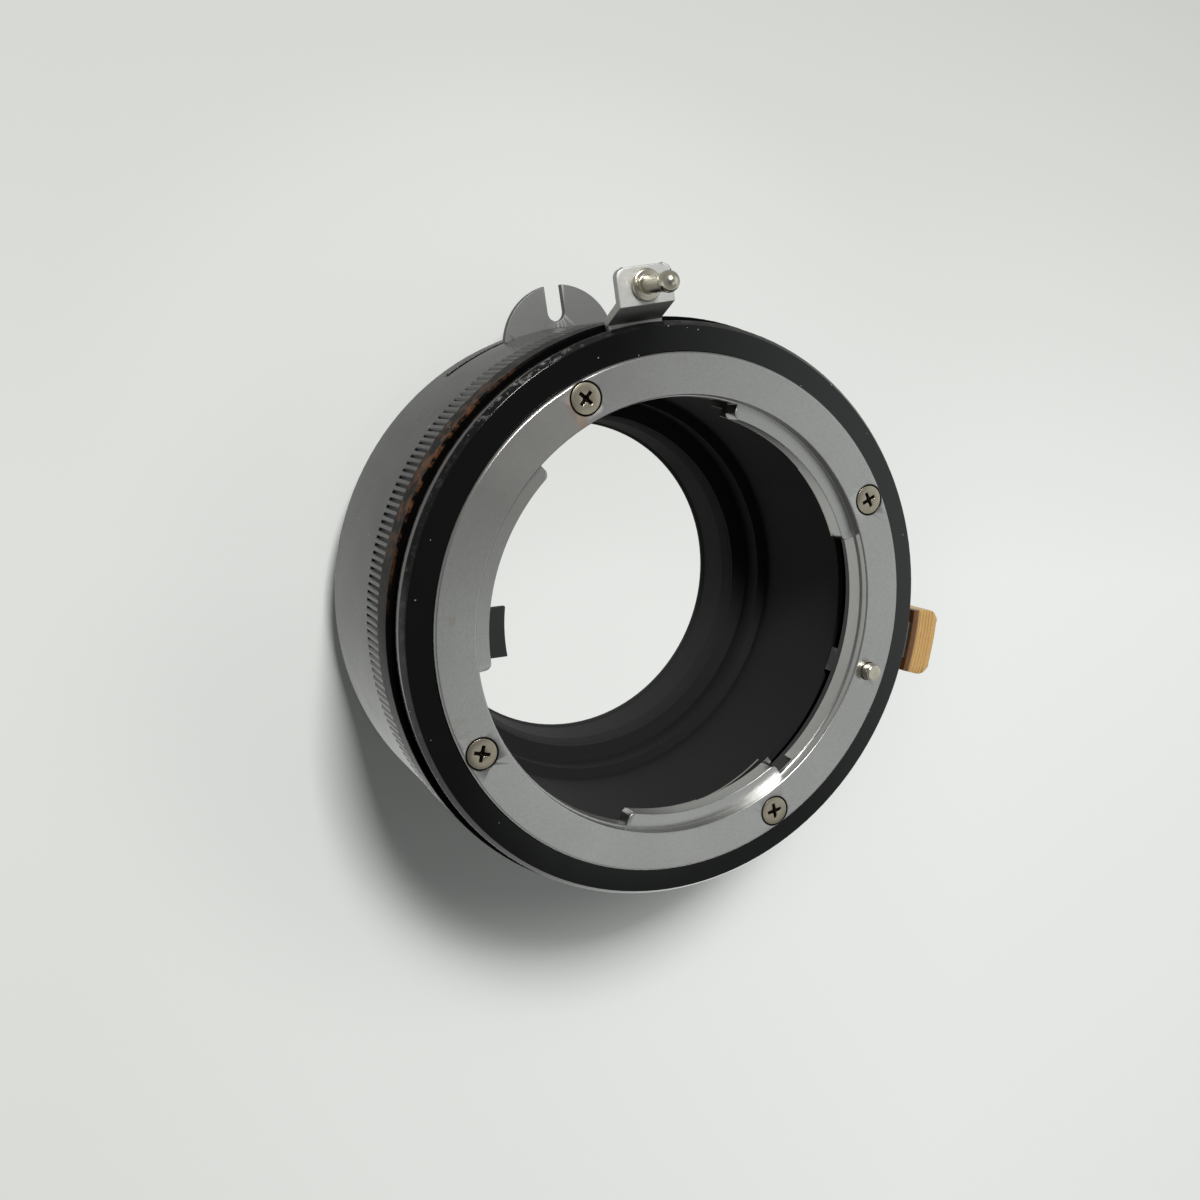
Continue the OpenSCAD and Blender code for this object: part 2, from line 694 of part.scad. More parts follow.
// Moulded cap: a curved block with a pocket for the lever and fine grip grooves on its front
module release_cap() {
    pocket_z = lever_z + lever_t + FIT;
    front_z = pocket_z + cap_front_t;
    back_z = front_z - cap_len;
    inner = coupling_r + FREE + 0.15;
    half = half_angle(cap_w, (inner + cap_outer_r) / 2);
    recess_r = inner + lever_t + FIT;
    groove_count = floor((cap_outer_r - recess_r) / cap_groove_pitch) - 1;
    color(AGED_IVORY)
        difference() {
            translate([0, 0, back_z])
                linear_extrude(height = cap_len)
                    polygon(rounded_sector(
                        inner, cap_outer_r, release_deg - half, release_deg + half, 0, cap_corner_r
                    ));
            at(release_deg)
                radial_box(inner - 1, recess_r, lever_w + 2 * FIT, back_z - 1, pocket_z);
            for (k = [1:groove_count])
                ring(recess_r + cap_groove_pitch * k + 0.1, recess_r + cap_groove_pitch * k - 0.08,
                    front_z - 0.12, front_z + 1);
            rotate_extrude()
                polygon([
                    [cap_outer_r - 0.5, front_z + EPS], [cap_outer_r + 1, front_z + EPS],
                    [cap_outer_r + 1, front_z - 0.8], [cap_outer_r + 0.1, front_z - 0.8]
                ]);
        }
}

// Spacer that sets the coupling ring's end play, open where the release lever passes
module thrust_spacer() {
    gap = half_angle(lever_w + 2, main_tube_r) + 1;
    color(STEEL)
        arc(spacer_out_r, main_tube_r + FIT, coupling_front_z + RUN, front_back_z,
            release_deg + gap, release_deg + 360 - gap);
}

module main_tube() {
    bore = main_bore_r;
    hub_seat = front_hub_d / 2 + FIT;
    color(GREY_BLACK)
        difference() {
            rotate_extrude()
                polygon([
                    [main_tube_hole_d / 2, camera_flange_t], [main_tube_r, camera_flange_t],
                    [main_tube_r, front_back_z], [hub_seat, front_back_z],
                    [hub_seat, hub_back_z - 0.1], [bore, hub_back_z - 0.1],
                    [bore, baffle_seat_z], [main_tube_hole_d / 2, baffle_seat_z]
                ]);
            ring(bore + 0.5, bore - 1, sleeve_flange_z, sleeve_flange_z + snap_ring_w + 0.1);
            at(release_deg)
                radial_box(bore - 1, main_tube_r + 1, lever_w + 0.6, lever_z - lock_travel - RUN - 0.05,
                    front_back_z + 1);
            at_camera_screws()
                cylinder(h = main_tube_flange_t, d = screw_shank_d + 2 * FIT);
        }
}

// Outline of the serrated band: a land, then a V-shaped groove, for each pitch
function serrated(outer_r, depth, count) = [
    for (i = [0:count - 1])
        for (corner = [[0, 0], [serration_land, 0], [(1 + serration_land) / 2, depth]])
            let (deg = 360 / count * (i + corner[0]), r = outer_r - corner[1])
                [r * cos(deg), r * sin(deg)]
];

module coupling_ring() {
    rim_back_z = coupling_front_z - coupling_rim_len;
    bevel = 0.15;
    tail_z = prong_z + plate_t;
    color(GREY_BLACK)
        difference() {
            union() {
                rotate_extrude()
                    polygon([
                        [coupling_bore_r, rim_back_z], [coupling_r, rim_back_z],
                        [coupling_r, coupling_front_z - bevel], [coupling_r - bevel, coupling_front_z],
                        [coupling_bore_r, coupling_front_z]
                    ]);
                difference() {
                    translate([0, 0, coupling_back_z])
                        linear_extrude(height = rim_back_z - coupling_back_z)
                            polygon(serrated(coupling_r - 0.02, serration_depth, serration_count));
                    translate([0, 0, coupling_back_z - 1])
                        cylinder(h = coupling_head_len, r = coupling_bore_r);
                }
                ring(coupling_sleeve_out_r, coupling_sleeve_in_r, tail_z, coupling_back_z + EPS);
            }
            at_follower_rivets()
                translate([0, 0, -follower_rivet_len - FIT])
                    cylinder(h = follower_rivet_len + 1, d = follower_rivet_d + 2 * FIT, $fn = 24);
            at_prong_rivets()
                translate([0, 0, -1])
                    cylinder(h = 1 + prong_rivet_len + FIT, d = prong_rivet_d + 2 * FIT, $fn = 24);
        }
}

// Places of the two rivets in the follower's foot, on the coupling ring's front face
module at_follower_rivets() {
    for (side = [-1, 1])
        at(coupling_deg + side * half_angle(0.56 * follower_w, foot_in_r), foot_in_r + 1.1, coupling_front_z)
            children();
}

// Places of the two rivets in the prong's foot, on the coupling sleeve's rear face
module at_prong_rivets() {
    for (side = [-1, 1])
        at(coupling_deg + side * 8, (coupling_sleeve_in_r + coupling_sleeve_out_r) / 2, prong_z + plate_t)
            children();
}

// Bent plate: foot on the coupling ring, slanted leg and upright face with a curved top
module follower_plate() {
    face_z = lens_face_z + 0.1;
    foot_z = coupling_front_z + foot_t;
    leg_foot_r = coupling_r - FREE;
    bend_r = coupling_pin_r - follower_collar_d / 2 - 0.25;
    slant = atan2(face_z - foot_z, bend_r - leg_foot_r);
    leg_w = plate_t / sin(slant);
    half = follower_w / 2;
    corner = follower_corner_r;
    corner_r = sqrt(pow(follower_top_r - corner, 2) - pow(half - corner, 2));
    tall = coupling_depth + 2;
    color(ALUMINIUM)
        difference() {
            intersection() {
                rotate([0, 0, coupling_deg])
                    translate([0, half, 0])
                        rotate([90, 0, 0])
                            linear_extrude(height = follower_w)
                                polygon([
                                    [foot_in_r, coupling_front_z],
                                    [leg_foot_r + leg_w - foot_t / tan(slant), coupling_front_z],
                                    [bend_r + leg_w - plate_t / tan(slant), face_z - plate_t],
                                    [follower_top_r + 1, face_z - plate_t], [follower_top_r + 1, face_z],
                                    [bend_r, face_z], [leg_foot_r, foot_z], [foot_in_r, foot_z]
                                ]);
                at(coupling_deg, 0, coupling_front_z - 1)
                    union() {
                        intersection() {
                            cylinder(h = tall, r = follower_top_r);
                            radial_box(0, follower_top_r, follower_w - 2 * corner, 0, tall);
                        }
                        radial_box(0, corner_r, follower_w, 0, tall);
                        for (side = [-1, 1])
                            translate([corner_r, side * (half - corner), 0])
                                cylinder(h = tall, r = corner, $fn = 32);
                    }
            }
            at(coupling_deg, coupling_pin_r, face_z - 2 * plate_t)
                cylinder(h = 4 * plate_t, d = pin_tail_rivet_d + 2 * FIT);
            at_follower_rivets()
                translate([0, 0, -foot_t])
                    cylinder(h = 3 * foot_t, d = follower_rivet_d + 2 * FIT, $fn = 24);
        }
}

module follower_rivets() {
    color(STEEL)
        at_follower_rivets() {
            translate([0, 0, -follower_rivet_len])
                cylinder(h = follower_rivet_len + foot_t, d = follower_rivet_d, $fn = 24);
            translate([0, 0, foot_t])
                cylinder(h = rivet_head_t, d = follower_rivet_head_d, $fn = 24);
        }
}

// Turned pin: riveted tail, collar, shaft and a slightly wider rounded end
module follower_pin() {
    face_z = lens_face_z + 0.1;
    shaft_r = follower_pin_d / 2;
    tip_r = shaft_r + follower_tip_swell;
    ball_z = lens_face_z + follower_pin_top - tip_r;
    color(NICKEL)
        at(coupling_deg, coupling_pin_r) {
            translate([0, 0, face_z - plate_t - EPS])
                cylinder(h = plate_t + 2 * EPS, d = pin_tail_rivet_d);
            translate([0, 0, face_z - plate_t - pin_tail_head_t])
                cylinder(h = pin_tail_head_t, d = pin_tail_head_d);
            translate([0, 0, face_z])
                cylinder(h = follower_collar_t - small_bevel, d = follower_collar_d);
            translate([0, 0, face_z + follower_collar_t - small_bevel])
                cylinder(h = small_bevel, d1 = follower_collar_d, d2 = follower_collar_d - 2 * small_bevel);
            rotate_extrude()
                polygon([
                    [0, face_z + follower_collar_t - EPS], [shaft_r, face_z + follower_collar_t - EPS],
                    [shaft_r, ball_z - follower_tip_len], [tip_r - 2 * EPS, ball_z - 0.2 * follower_tip_len],
                    [0, ball_z - 0.2 * follower_tip_len]
                ]);
            translate([0, 0, ball_z])
                sphere(r = tip_r, $fn = 48);
        }
}

// Flat prong: part of a disc with an open slot, on the rear end of the coupling sleeve
module meter_prong() {
    disc_centre_r = prong_top_r - prong_r;
    slot_r = prong_slot_w / 2;
    color(ALUMINIUM)
        difference() {
            at(coupling_deg, disc_centre_r, prong_z)
                cylinder(h = plate_t, r = prong_r);
            translate([0, 0, prong_z - 1])
                cylinder(h = plate_t + 2, r = coupling_sleeve_in_r);
            at(coupling_deg) {
                translate([prong_slot_bottom_r + slot_r, 0, prong_z - 1])
                    cylinder(h = plate_t + 2, r = slot_r);
                radial_box(prong_slot_bottom_r + slot_r, prong_top_r + 1, prong_slot_w, prong_z - 1,
                    prong_z + plate_t + 1);
            }
            at_prong_rivets()
                translate([0, 0, -2 * plate_t])
                    cylinder(h = 3 * plate_t, d = prong_rivet_d + 2 * FIT, $fn = 24);
        }
}

module prong_rivets() {
    color(STEEL)
        at_prong_rivets() {
            translate([0, 0, -plate_t])
                cylinder(h = plate_t + prong_rivet_len, d = prong_rivet_d, $fn = 24);
            translate([0, 0, -plate_t - rivet_head_t])
                cylinder(h = rivet_head_t, d = prong_rivet_head_d, $fn = 24);
        }
}

// Outer barrel behind the serrated ring, with the arc slot in which the prong travels
module rear_barrel() {
    bore = main_tube_r + FIT;
    end_z = barrel_z + barrel_end_t;
    bevel = 0.3;
    prong_side = half_angle_of_prong(barrel_in_r);
    slot_z = prong_z - barrel_slot_play;
    slot_h = plate_t + 2 * barrel_slot_play;
    color(GREY_BLACK)
        difference() {
            rotate_extrude()
                polygon([
                    [bore, barrel_z], [barrel_r - bevel, barrel_z], [barrel_r, barrel_z + bevel],
                    [barrel_r, coupling_back_z - 0.1], [barrel_in_r, coupling_back_z - 0.1],
                    [barrel_in_r, end_z], [bore, end_z]
                ]);
            arc(barrel_r + 1, barrel_in_r - 0.5, slot_z, slot_z + slot_h,
                coupling_deg - coupling_turn_down - prong_side, coupling_deg + coupling_turn_up + prong_side);
        }
}

// Half of the angle that the prong's disc covers at a distance from the axis, with some room
function half_angle_of_prong(r) =
    let (centre = prong_top_r - prong_r)
        acos((r * r + centre * centre - prong_r * prong_r) / (2 * r * centre)) + 0.7;

// Notches in the stop-down ring take the legs of the tab and of the arm
module stopdown_ring() {
    color(GREY_BLACK)
        difference() {
            ring(stopdown_out_r, stopdown_in_r, stopdown_z, stopdown_z + stopdown_len);
            at(stopdown_deg) {
                radial_box(leg_in_r(), stopdown_out_r + 1, tab_w, stopdown_z + stopdown_len / 2,
                    stopdown_z + stopdown_len + 1);
                radial_box(leg_in_r(), stopdown_out_r + 1, arm_w, stopdown_z - 1,
                    stopdown_z + stopdown_len / 2 - 0.1);
            }
            at_stopdown_rivets()
                rotate([0, 90, 0])
                    translate([0, 0, -2])
                        cylinder(h = 4, d = stopdown_rivet_d + 2 * FIT, $fn = 24);
        }
}

// Distance from the axis to the inner side of the legs, measured on their centre line
function leg_in_r() = stopdown_out_r - stopdown_plate_t - 0.15;

module at_stopdown_rivets() {
    for (part = [[tab_w, 0.75], [arm_w, 0.2]])
        for (side = [-1, 1])
            rotate([0, 0, stopdown_deg])
                translate([leg_in_r(), side * part[0] / 4, stopdown_z + part[1] * stopdown_len])
                    children();
}

// Black sheet tab: a leg along the axis and a face that points at the axis
module stopdown_tab() {
    t = stopdown_plate_t;
    color(BLACK_ANODISED)
        difference() {
            at(stopdown_deg) {
                radial_box(leg_in_r(), leg_in_r() + t, tab_w, stopdown_z + stopdown_len / 2, tab_z + t);
                intersection() {
                    radial_box(tab_inner_r - 1, leg_in_r() + EPS, tab_w, tab_z, tab_z + t);
                    ring(stopdown_out_r, tab_inner_r, tab_z - 1, tab_z + t + 1);
                }
            }
            at_stopdown_rivets()
                rotate([0, 90, 0])
                    translate([0, 0, -2])
                        cylinder(h = 4, d = stopdown_rivet_d + 2 * FIT, $fn = 24);
        }
}

// Rear arm: a leg along the axis, a step inward and a finger that points at the camera
module stopdown_arm() {
    t = stopdown_plate_t;
    finger_end_z = 0.4 - camera_neck_len;
    color(STEEL)
        difference() {
            at(stopdown_deg) {
                radial_box(leg_in_r(), leg_in_r() + t, arm_w, arm_z, stopdown_z + stopdown_len / 2 - 0.1);
                radial_box(arm_finger_r, leg_in_r() + EPS, arm_w, arm_z, arm_z + t);
                radial_box(arm_finger_r, arm_finger_r + t, arm_w / 2, finger_end_z, arm_z + EPS);
            }
            at_stopdown_rivets()
                rotate([0, 90, 0])
                    translate([0, 0, -2])
                        cylinder(h = 4, d = stopdown_rivet_d + 2 * FIT, $fn = 24);
        }
}

module stopdown_rivets() {
    color(STEEL)
        at_stopdown_rivets()
            rotate([0, 90, 0])
                translate([0, 0, stopdown_in_r - leg_in_r() + RUN])
                    cylinder(h = leg_in_r() + stopdown_plate_t - stopdown_in_r - RUN, d = stopdown_rivet_d,
                        $fn = 24);
}

// Return spring between the fixed post and the post on the stop-down ring
module stopdown_spring() {
    half_span = (POST_DEG[1] - POST_DEG[0]) / 2;
    length = 2 * post_r * sin(half_span) - post_d - return_wire_d;
    color(STEEL)
        at(POST_DEG[0] + half_span, post_r * cos(half_span) + return_wire_d, spring_z)
            translate([0, -length / 2, 0])
                rotate([-90, 0, 0])
                    coil(return_coil_r, return_wire_d, length, 14);
}

// Post on the inner sleeve's flange
module spring_post() {
    color(STEEL)
        at(POST_DEG[0], post_r, sleeve_flange_z)
            cylinder(h = spring_z - sleeve_flange_z + post_tail, d = post_d, $fn = 24);
}

// Post under the stop-down ring
module ring_post() {
    color(STEEL)
        at(POST_DEG[1], post_r, spring_z - post_tail)
            cylinder(h = stopdown_z - spring_z + post_tail, d = post_d, $fn = 24);
}

module inner_sleeve() {
    outer = sleeve_d / 2;
    bore = sleeve_bore_d / 2;
    color(MATTE_BLACK)
        difference() {
            union() {
                ring(outer, bore, baffle_front_z, sleeve_front_z);
                ring(main_bore_r - FIT, bore, baffle_front_z, sleeve_flange_z);
            }
            arm_sweep()
                polygon([
                    [stopdown_out_r + 0.1, baffle_front_z - 1], [stopdown_out_r + 0.1, sleeve_flange_z + 1],
                    [outer + EPS, sleeve_flange_z + 1], [outer + EPS, baffle_front_z - 1]
                ]);
        }
}

// Turns an outline through the angle that the rear arm travels, with room on both sides
module arm_sweep() {
    rotate([0, 0, stopdown_deg - arm_side])
        rotate_extrude(angle = stopdown_turn + 2 * arm_side)
            children();
}

// Snap ring in the main tube's groove, open where the rear arm travels
module snap_ring() {
    color(STEEL)
        arc(main_bore_r + 0.45, main_bore_r - 0.7, sleeve_flange_z, sleeve_flange_z + snap_ring_w,
            stopdown_deg + stopdown_turn + 10, stopdown_deg + 350);
}

// Light baffle at the camera end: a stepped dish, then a cone and a tail that are open where the arm travels
module rear_baffle() {
    outer = main_bore_r - FIT;
    seat = main_tube_hole_d / 2 - FIT;
    cone = baffle_cone_d / 2 - 0.4;
    tail = camera_bore_d / 2 - FIT;
    rim = rear_opening_d / 2;
    back_z = camera_flange_t + FIT;
    step_z = camera_flange_t + 0.55;
    tail_z = 0.15 - camera_neck_len;
    lid_z = arm_z + stopdown_plate_t + 0.15;
    color(MATTE_BLACK) {
        difference() {
            rotate_extrude()
                polygon([
                    [outer, baffle_front_z], [baffle_step_d / 2, baffle_front_z], [baffle_step_d / 2, step_z],
                    [cone, step_z], [cone, back_z], [seat, back_z], [seat, baffle_seat_z + FIT],
                    [outer, baffle_seat_z + FIT]
                ]);
            arm_sweep()
                polygon([
                    [rim, baffle_seat_z - 0.05], [stopdown_out_r + 0.1, baffle_seat_z - 0.05],
                    [stopdown_out_r + 0.1, baffle_front_z + 1], [sleeve_d / 2, baffle_front_z + 1],
                    [sleeve_d / 2, lid_z], [rim, lid_z]
                ]);
        }
        rotate([0, 0, stopdown_deg + stopdown_turn + arm_side])
            rotate_extrude(angle = 360 - stopdown_turn - 2 * arm_side)
                polygon([
                    [cone + EPS, step_z], [tail - 0.35, camera_flange_t - 1.2], [rim + 0.25, tail_z + 0.8],
                    [rim, tail_z + 0.4], [rim, tail_z], [tail, tail_z], [tail, back_z], [cone + EPS, back_z]
                ]);
    }
}

module at_camera_screws() {
    for (i = [0:camera_screw_count - 1])
        at(camera_screw_deg + 360 * i / camera_screw_count, camera_screw_circle_d / 2, camera_flange_t)
            children();
}

// Male bayonet: flange, neck, three lugs and the slot for the camera's lock pin
module camera_bayonet() {
    bore = camera_bore_d / 2;
    neck = camera_neck_d / 2;
    lug_top_z = -camera_lug_gap;
    trim = camera_lug_trim_deg;
    color(SATIN_CHROME)
        difference() {
            union() {
                rotate_extrude()
                    polygon([
                        [bore, camera_flange_t], [bore, -camera_neck_len], [neck - 0.2, -camera_neck_len],
                        [neck, 0.2 - camera_neck_len], [neck, 0], [main_tube_r - 0.2, 0],
                        [main_tube_r, 0.2], [main_tube_r, camera_flange_t]
                    ]);
                for (i = [RIGHT, LEFT, LOWER])
                    arc(camera_lug_d / 2, neck - EPS, lug_top_z - camera_lug_t, lug_top_z,
                        LUG_START[i] + trim, LUG_START[i] + LUG_SPAN[i] - trim);
            }
            at_camera_screws()
                translate([0, 0, -camera_flange_t])
                    rotate([180, 0, 0])
                        countersunk(screw_head_d, screw_shank_d, camera_screw_len, FIT);
            at(lock_pin_deg, lock_pin_r, -1) {
                for (end = [-1, 1])
                    translate([end * lock_slot_travel / 2, 0, 0])
                        cylinder(h = camera_flange_t + 2, d = lock_slot_w);
                radial_box(-lock_slot_travel / 2, lock_slot_travel / 2, lock_slot_w, 0, camera_flange_t + 2);
            }
        }
}

module bayonet_screws() {
    color(NICKEL)
        at_camera_screws()
            translate([0, 0, -camera_flange_t])
                rotate([180, 0, 0])
                    cross_screw(camera_screw_len);
}

lens_flange();
flange_screws();
bayonet_spring_right();
bayonet_spring_left();
bayonet_spring_lower();
spring_rivets();
front_ring();
lock_pin();
lock_pin_spring();
release_lever();
release_cap();
thrust_spacer();
main_tube();
coupling_ring();
follower_plate();
follower_rivets();
follower_pin();
meter_prong();
prong_rivets();
rear_barrel();
stopdown_ring();
stopdown_tab();
stopdown_arm();
stopdown_rivets();
stopdown_spring();
spring_post();
ring_post();
inner_sleeve();
snap_ring();
rear_baffle();
camera_bayonet();
bayonet_screws();
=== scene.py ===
"""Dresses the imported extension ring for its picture: finishes, finer pieces and a pale studio.

All lengths are in metres, in the frame of the CAD model: Z runs along the optical axis toward the lens,
and z = 0 is the flange face that meets the camera.
"""

import math

import bpy
from bpy.props import FloatProperty, FloatVectorProperty, PointerProperty
from mathutils import Matrix, Vector


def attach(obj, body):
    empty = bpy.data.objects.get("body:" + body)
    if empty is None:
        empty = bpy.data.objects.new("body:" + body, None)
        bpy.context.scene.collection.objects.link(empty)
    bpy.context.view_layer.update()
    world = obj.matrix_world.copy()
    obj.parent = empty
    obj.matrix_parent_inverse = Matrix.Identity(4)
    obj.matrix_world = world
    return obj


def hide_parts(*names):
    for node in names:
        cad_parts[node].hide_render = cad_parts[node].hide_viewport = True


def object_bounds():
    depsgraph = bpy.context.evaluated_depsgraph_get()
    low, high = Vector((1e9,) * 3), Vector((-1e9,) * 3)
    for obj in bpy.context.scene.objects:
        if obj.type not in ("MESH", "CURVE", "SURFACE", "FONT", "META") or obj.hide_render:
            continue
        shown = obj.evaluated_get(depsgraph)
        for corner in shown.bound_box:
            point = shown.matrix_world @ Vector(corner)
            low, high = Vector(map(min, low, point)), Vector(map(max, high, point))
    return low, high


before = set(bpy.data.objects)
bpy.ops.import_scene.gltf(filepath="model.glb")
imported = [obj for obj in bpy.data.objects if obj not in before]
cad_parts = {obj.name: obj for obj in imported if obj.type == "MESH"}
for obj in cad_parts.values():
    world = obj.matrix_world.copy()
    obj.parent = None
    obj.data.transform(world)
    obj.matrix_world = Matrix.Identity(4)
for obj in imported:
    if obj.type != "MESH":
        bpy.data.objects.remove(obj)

bl_info = {
    "name": "Extension ring",
    "version": (1, 0, 0),
    "blender": (4, 5, 0),
    "location": "View3D > Sidebar > Extension ring",
    "description": "Finishes, finer pieces and a pale studio for a bayonet extension ring",
    "category": "Add Mesh",
}

CAD_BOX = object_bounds()
MM = 0.001

# Heights above the camera flange face: the front ring's front edge and the serrations' upper end
FRONT_EDGE_Z = 26.0 * MM
SERRATION_TOP_Z = 20.3 * MM

# The flange screws: distance from the axis, angle of the first of four, and how deep the painted shade in their cross
# recesses begins
SCREW_R = 26.25 * MM
SCREW_DEG = 31.3
SCREW_SHADE_Z = 27.25 * MM

# Angles about the axis of the marks: the painted shade sector and the painted orange reflection of the flange, and the
# brown worn rim of the serrated ring
SHADE_SECTOR_DEG = 140.0
WARM_REFLECTION_DEG = 124.5
BRASSING_DEG = 152.0

# The camera's own axes in the CAD frame, from the fit to the photograph, straightened where they are used
CAMERA_UP = Vector((0, 0.986, -0.164))
CAMERA_BACK = Vector((-0.432, 0.148, 0.890))

# Directions from the object to the pale wall and to the ceiling lamp
WALL_DIRECTION = Vector((0.80, 0.17, 0.48)).normalized()
LAMP_DIRECTION = Vector((0.43, -0.32, 0.845)).normalized()


def linear(code):
    """An sRGB hex colour as the linear red, green and blue that the shaders take."""
    values = [int(code[i:i + 2], 16) / 255 for i in (1, 3, 5)]
    return tuple(v / 12.92 if v <= 0.04045 else ((v + 0.055) / 1.055) ** 2.4 for v in values)


def colour(label, code, note):
    """A colour that a user can change in the sidebar."""
    return FloatVectorProperty(
        name=label, description=note, default=linear(code), min=0, max=1, size=3, subtype="COLOR"
    )


def length(label, value, note):
    """A length that a user can change in the sidebar."""
    return FloatProperty(
        name=label, description=note, default=value, min=0, unit="LENGTH", subtype="DISTANCE", precision=5
    )


def strength(label, value, note, most=10.0):
    """A brightness, power or share that a user can change in the sidebar."""
    return FloatProperty(name=label, description=note, default=value, min=0, max=most, subtype="FACTOR")


class FinishSettings(bpy.types.PropertyGroup):
    """Colours of the finishes, as the photograph shows them."""

    chrome: colour("Satin chrome", "#B3B3B0", "Plated brass of the two bayonet flanges")
    # Also the colour of the painted orange reflection near the upper left screw
    chrome_stain_and_reflection: colour("Flange stain", "#A8784A", "Faint orange stains on the lens flange")
    nickel: colour("Nickel", "#A9A292", "Screws, yellowed")
    bright_nickel: colour("Bright nickel", "#CBC5B6", "Lock pin and follower pin")
    steel: colour("Spring steel", "#A3A29D", "Leaf springs, lever and rivets")
    # The follower's lighter tone and the prong's darker one are lit and shaded copies of one satin sheet: painted
    # light
    aluminium: colour("Satin aluminium", "#C8C8C4", "Follower plate")
    shaded_aluminium: colour("Shaded aluminium", "#7C7C7A", "Meter prong")
    anodised: colour("Black anodising", "#040405", "Front ring, serrated ring and barrel")
    brassing: colour("Worn rim", "#5B3A24", "Brown metal where the serrated ring's rim is rubbed bare")
    dust: colour("Dust", "#8E8C86", "Dust specks on the black parts")
    matte: colour("Flock black", "#080808", "Paint that keeps reflections out of the light path")
    ivory: colour("Aged ivory", "#C9A56B", "Plastic of the release cap")
    # Painted shadow: the dark amber of the release cap's inner side stands in for the shade there
    amber: colour("Amber", "#5E3C1C", "Darkened inner side of the release cap")


class EdgeSettings(bpy.types.PropertyGroup):
    """Widths of the small bevels that catch the light."""

    flange: length("Lens flange", 0.07 * MM, "Turned and deburred brass")
    screws: length("Flange screws", 0.03 * MM, "Heads and cross recesses")
    lock_pin: length("Lock pin", 0.06 * MM, "End of the pin")
    front_ring: length("Front ring", 0.06 * MM, "Turned and polished aluminium")
    barrel: length("Barrel", 0.08 * MM, "Ends and slot of the barrel")
    serrations: length("Serrations", 0.03 * MM, "Milled teeth, nearly sharp")
    follower: length("Follower plate", 0.10 * MM, "Stamped and tumbled sheet")
    prong: length("Meter prong", 0.08 * MM, "Stamped and tumbled sheet")
    follower_pin: length("Follower pin", 0.12 * MM, "Steps and head of the pin")
    cap: length("Release cap", 0.05 * MM, "Moulded edges and grooves")


class StudioSettings(bpy.types.PropertyGroup):
    """Camera, floor and lights."""

    eye: FloatVectorProperty(
        name="Camera place", description="Where the photograph was taken from, in the CAD frame",
        default=(-63.9 * MM, 20.4 * MM, 137.5 * MM), size=3, subtype="TRANSLATION", unit="LENGTH",
    )
    lens: FloatProperty(
        name="Focal length", description="For a frame 36 mm wide", default=35.97, min=10, subtype="DISTANCE_CAMERA"
    )
    floor_colour: colour("Floor", "#DFE1DD", "Pale seamless paper")
    floor_right: colour("Floor at the right", "#EDEFEC", "The same paper toward the bright side of the room")
    floor_top: colour("Floor at the top", "#CBCDC8", "The same paper toward the dim side of the room")
    glow_near: strength("Glow near", 0.0, "Share of the paper's own glow by the object", 1.0)
    glow_far: strength("Glow far", 0.7, "The same share far from the object", 1.0)
    room_dim: strength("Room overhead", 0.16, "Brightness of the room straight above")
    room_side: strength("Room around", 0.36, "Brightness of the room around the table")
    room_right: strength("Room at the right", 1.0, "Brightness of the pale wall at the right")
    room_fill: strength("Room fill", 0.55, "Share of the room's light that falls on matte surfaces")
    room_lamp: strength("Ceiling lamp", 0.9, "Brightness of the ceiling lamp")
    key_light: strength("Key light", 2.6, "Power of the soft box above, in watts")


def settings():
    """The finish and the studio settings of the open scene."""
    return bpy.context.scene.ring_finish, bpy.context.scene.ring_studio


def add_node(tree, kind, inputs=None, links=None, **values):
    """Adds one node, sets its own values and its input sockets, and links sockets to outputs that exist."""
    node = tree.nodes.new(kind)
    for key, value in values.items():
        setattr(node, key, value)
    for key, value in (inputs or {}).items():
        node.inputs[key].default_value = value
    for key, source in (links or {}).items():
        tree.links.new(source, node.inputs[key])
    return node


def new_material(name):
    """An empty material and its node tree."""
    material = bpy.data.materials.new(name)
    material.use_nodes = True
    material.node_tree.nodes.clear()
    return material, material.node_tree


def finish_material(tree, shader):
    """Joins the last shader to the output."""
    add_node(tree, "ShaderNodeOutputMaterial", links={"Surface": shader.outputs["BSDF"]})


def object_point(tree):
    """The shaded point in the object's own frame, which for every piece is the CAD frame."""
    return add_node(tree, "ShaderNodeTexCoord").outputs["Object"]


def math_node(tree, operation, a, b=0.0):
    """One sum or comparison of numbers or outputs."""
    node = add_node(tree, "ShaderNodeMath", operation=operation)
    for index, value in enumerate((a, b)):
        if isinstance(value, (int, float)):
            node.inputs[index].default_value = value
        else:
            tree.links.new(value, node.inputs[index])
    return node.outputs[0]


def times(tree, a, b):
    """The product of two numbers or outputs."""
    return math_node(tree, "MULTIPLY", a, b)


def distance(tree, across, along):
    """Length of the hypotenuse over two offsets."""
    squares = math_node(tree, "POWER", across, 2.0), math_node(tree, "POWER", along, 2.0)
    return math_node(tree, "SQRT", math_node(tree, "ADD", *squares))


def polar(tree, point):
    """Distance from the optical axis, angle about it in turns, and height, from a point in the object's frame."""
    xyz = add_node(tree, "ShaderNodeSeparateXYZ", links={"Vector": point}).outputs
    radius = distance(tree, xyz["X"], xyz["Y"])
    turn = math_node(tree, "DIVIDE", math_node(tree, "ARCTAN2", xyz["Y"], xyz["X"]), 2 * math.pi)
    return radius, turn, xyz["Z"]


def noise(tree, vector, millimetres, detail=2.0, roughness=0.5):
    """Soft noise whose blotches are about that many millimetres across."""
    return add_node(
        tree, "ShaderNodeTexNoise", {"Scale": 1 / (millimetres * MM), "Detail": detail, "Roughness": roughness},
        {"Vector": vector},
    ).outputs["Fac"]


def band(tree, value, low, high):
    """0 below low, 1 above high and a straight rise between them."""
    return add_node(
        tree, "ShaderNodeMapRange", {"From Min": low, "From Max": high, "To Min": 0.0, "To Max": 1.0},
        {"Value": value}, clamp=True,
    ).outputs["Result"]


